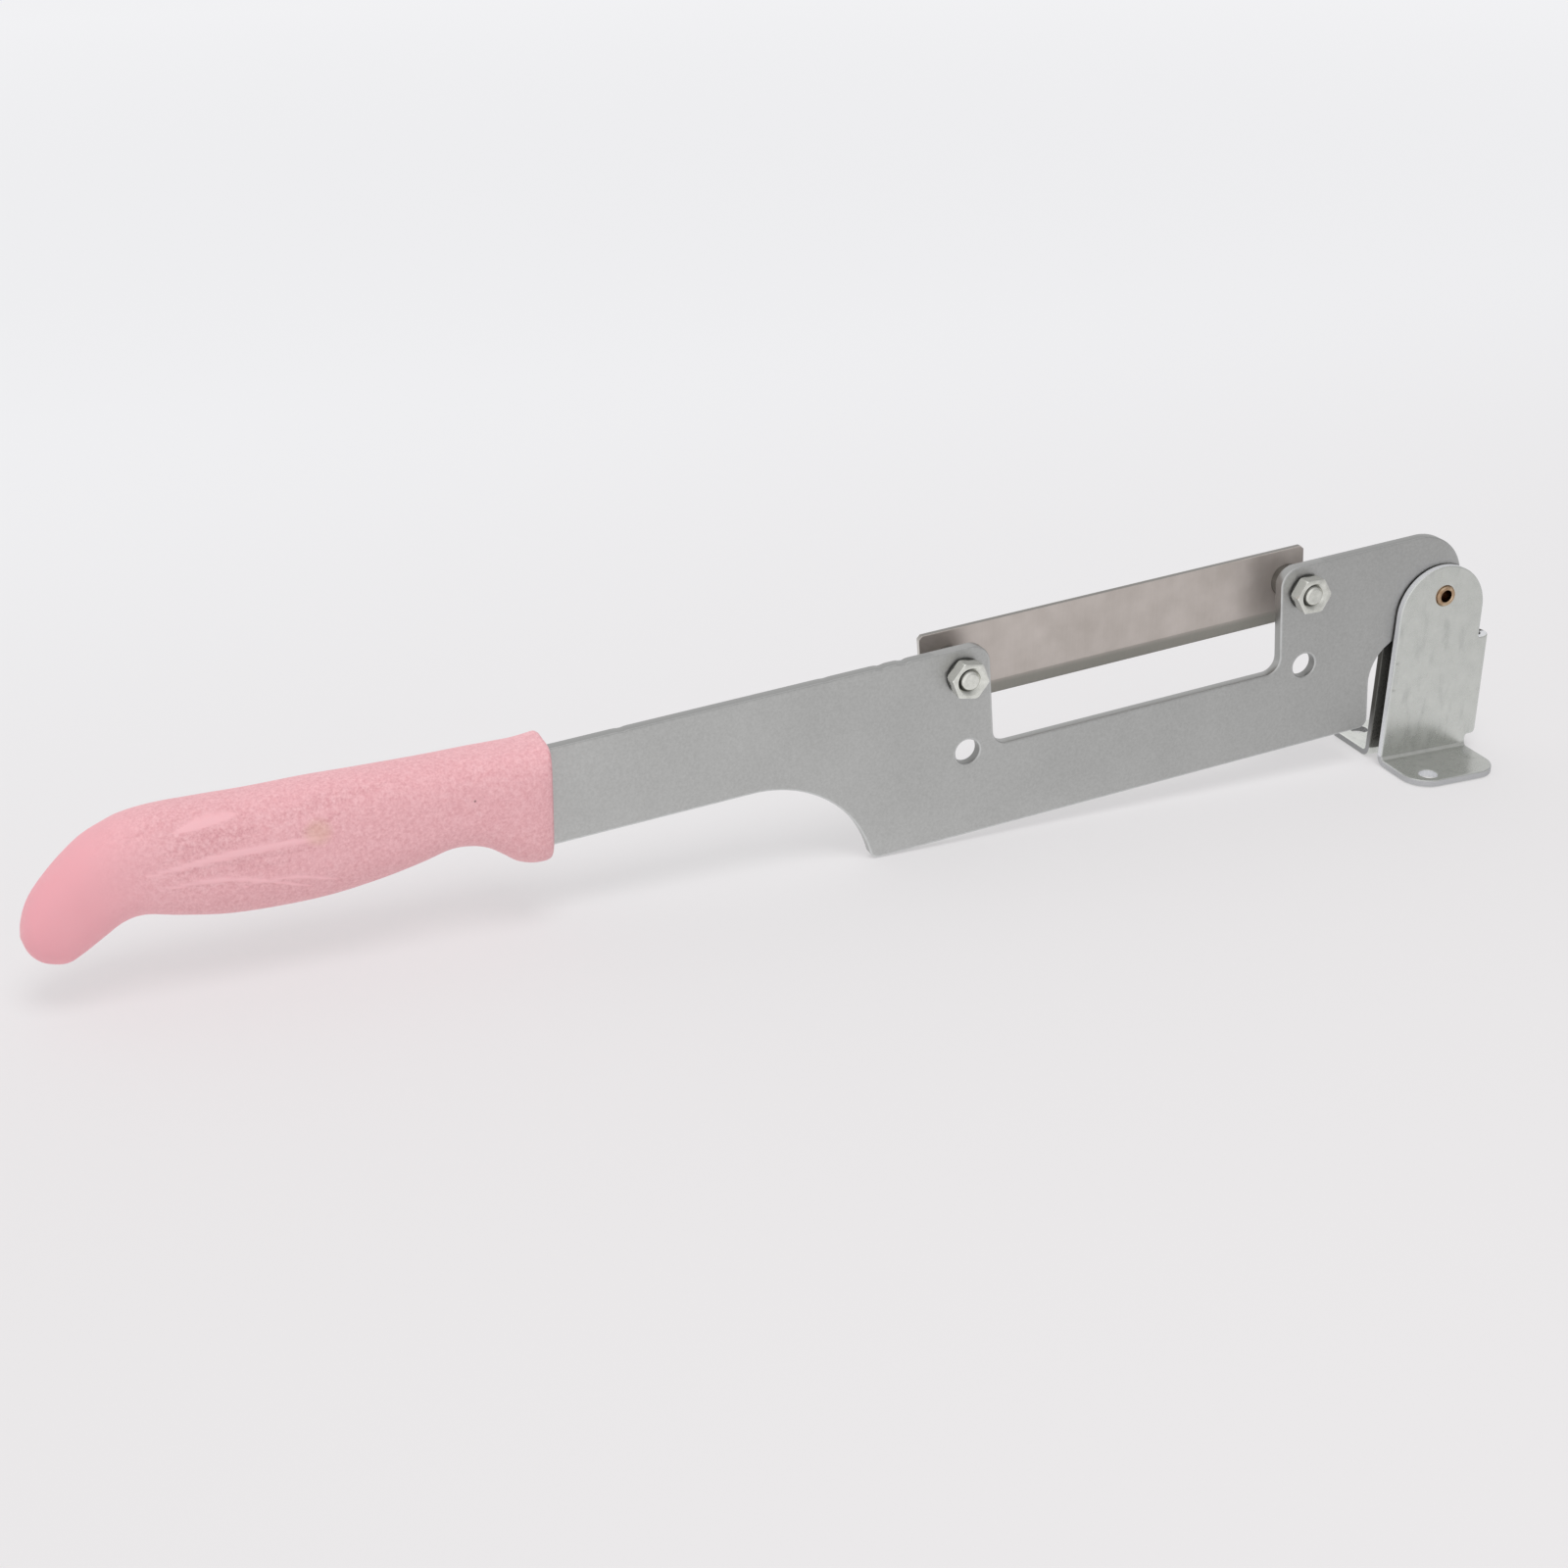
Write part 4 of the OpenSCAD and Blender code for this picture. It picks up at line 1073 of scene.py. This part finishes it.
def makeTable():
    material, tree, shader = startMaterial("paleTable")
    tree.nodes.remove(shader)
    axes = put(tree, "ShaderNodeSeparateXYZ", {0: placeIn(tree)}).outputs
    share = ranged(tree, axes["Y"], *table["cooling"], curve="SMOOTHSTEP")
    colour = mixColour(tree, share, table["near"], table["far"])
    path = put(tree, "ShaderNodeLightPath").outputs
    mirrored = path["Is Glossy Ray"]
    lit = put(tree, "ShaderNodeBsdfDiffuse", {"Color": colour})
    plain = put(tree, "ShaderNodeEmission", {
        "Color": mixColour(tree, mirrored, colour, white),
        "Strength": blend(tree, mirrored, 1.0, ranged(tree, axes["X"], *table["level"]))})
    distance = put(tree, "ShaderNodeVectorMath", {0: placeIn(tree)}, operation="LENGTH").outputs["Value"]
    shown = times(tree, path["Is Camera Ray"], ranged(tree, distance, *table["unshaded"]))
    seen = reckon(tree, "MAXIMUM", shown, times(tree, mirrored, table["mirrored"]))
    mixed = put(tree, "ShaderNodeMixShader", {0: seen, 1: lit.outputs[0], 2: plain.outputs[0]})
    feed(tree, tree.nodes["Material Output"], {"Surface": mixed.outputs[0]})
    h, z = table["half"], table["drop"]
    mesh = bpy.data.meshes.new("table")
    mesh.from_pydata([(-h, -h, z), (h, -h, z), (h, h, z), (-h, h, z)], [], [(0, 1, 2, 3)])
    mesh.materials.append(material)
    top = addObject("table", mesh)


# White surroundings that dim towards the right, and a soft lamp high in front. The metals see the
# surroundings in full, and the rest is lit by part of them, so that the lamp's shadow shows. The camera sees
# them plain.
sky = {
    "level": 0.95, "dim": 0.5, "toward": (0.9, -0.35, 0.25), "dimming": (0.0, 1.0), "fill": 0.85,
    "seen": 0.88,
}
lamp = {"place": (-0.25, -0.6, 1.35), "aim": (-0.15, 0.0, 0.03), "size": 0.75, "power": 6.8}


def makeLight():
    world = bpy.data.worlds.new("studio")
    scene.world = world
    world.use_nodes = True
    tree = world.node_tree
    way = put(tree, "ShaderNodeTexCoord").outputs["Generated"]
    near = put(tree, "ShaderNodeVectorMath", {0: way, 1: sky["toward"]}, operation="DOT_PRODUCT")
    dim = ranged(tree, near.outputs["Value"], *sky["dimming"], curve="SMOOTHSTEP")
    level = blend(tree, dim, sky["level"], sky["dim"])
    path = put(tree, "ShaderNodeLightPath").outputs
    share = blend(tree, path["Is Glossy Ray"], sky["fill"], 1.0)
    strength = blend(tree, path["Is Camera Ray"], times(tree, level, share), sky["seen"])
    feed(tree, tree.nodes["Background"], {"Color": white, "Strength": strength})
    data = bpy.data.lights.new("softLamp", "AREA")
    data.shape = "DISK"
    data.size = lamp["size"]
    data.energy = lamp["power"]
    soft = addObject("softLamp", data)
    soft.location = lamp["place"]
    soft.rotation_euler = (Vector(lamp["aim"]) - Vector(lamp["place"])).to_track_quat("-Z", "Y").to_euler()
    soft.visible_glossy = False  # the metals mirror the table and surroundings alone


makeCamera()
makeTable()
makeLight()
scene.view_settings.view_transform = "Standard"
print("camera, table and light set")
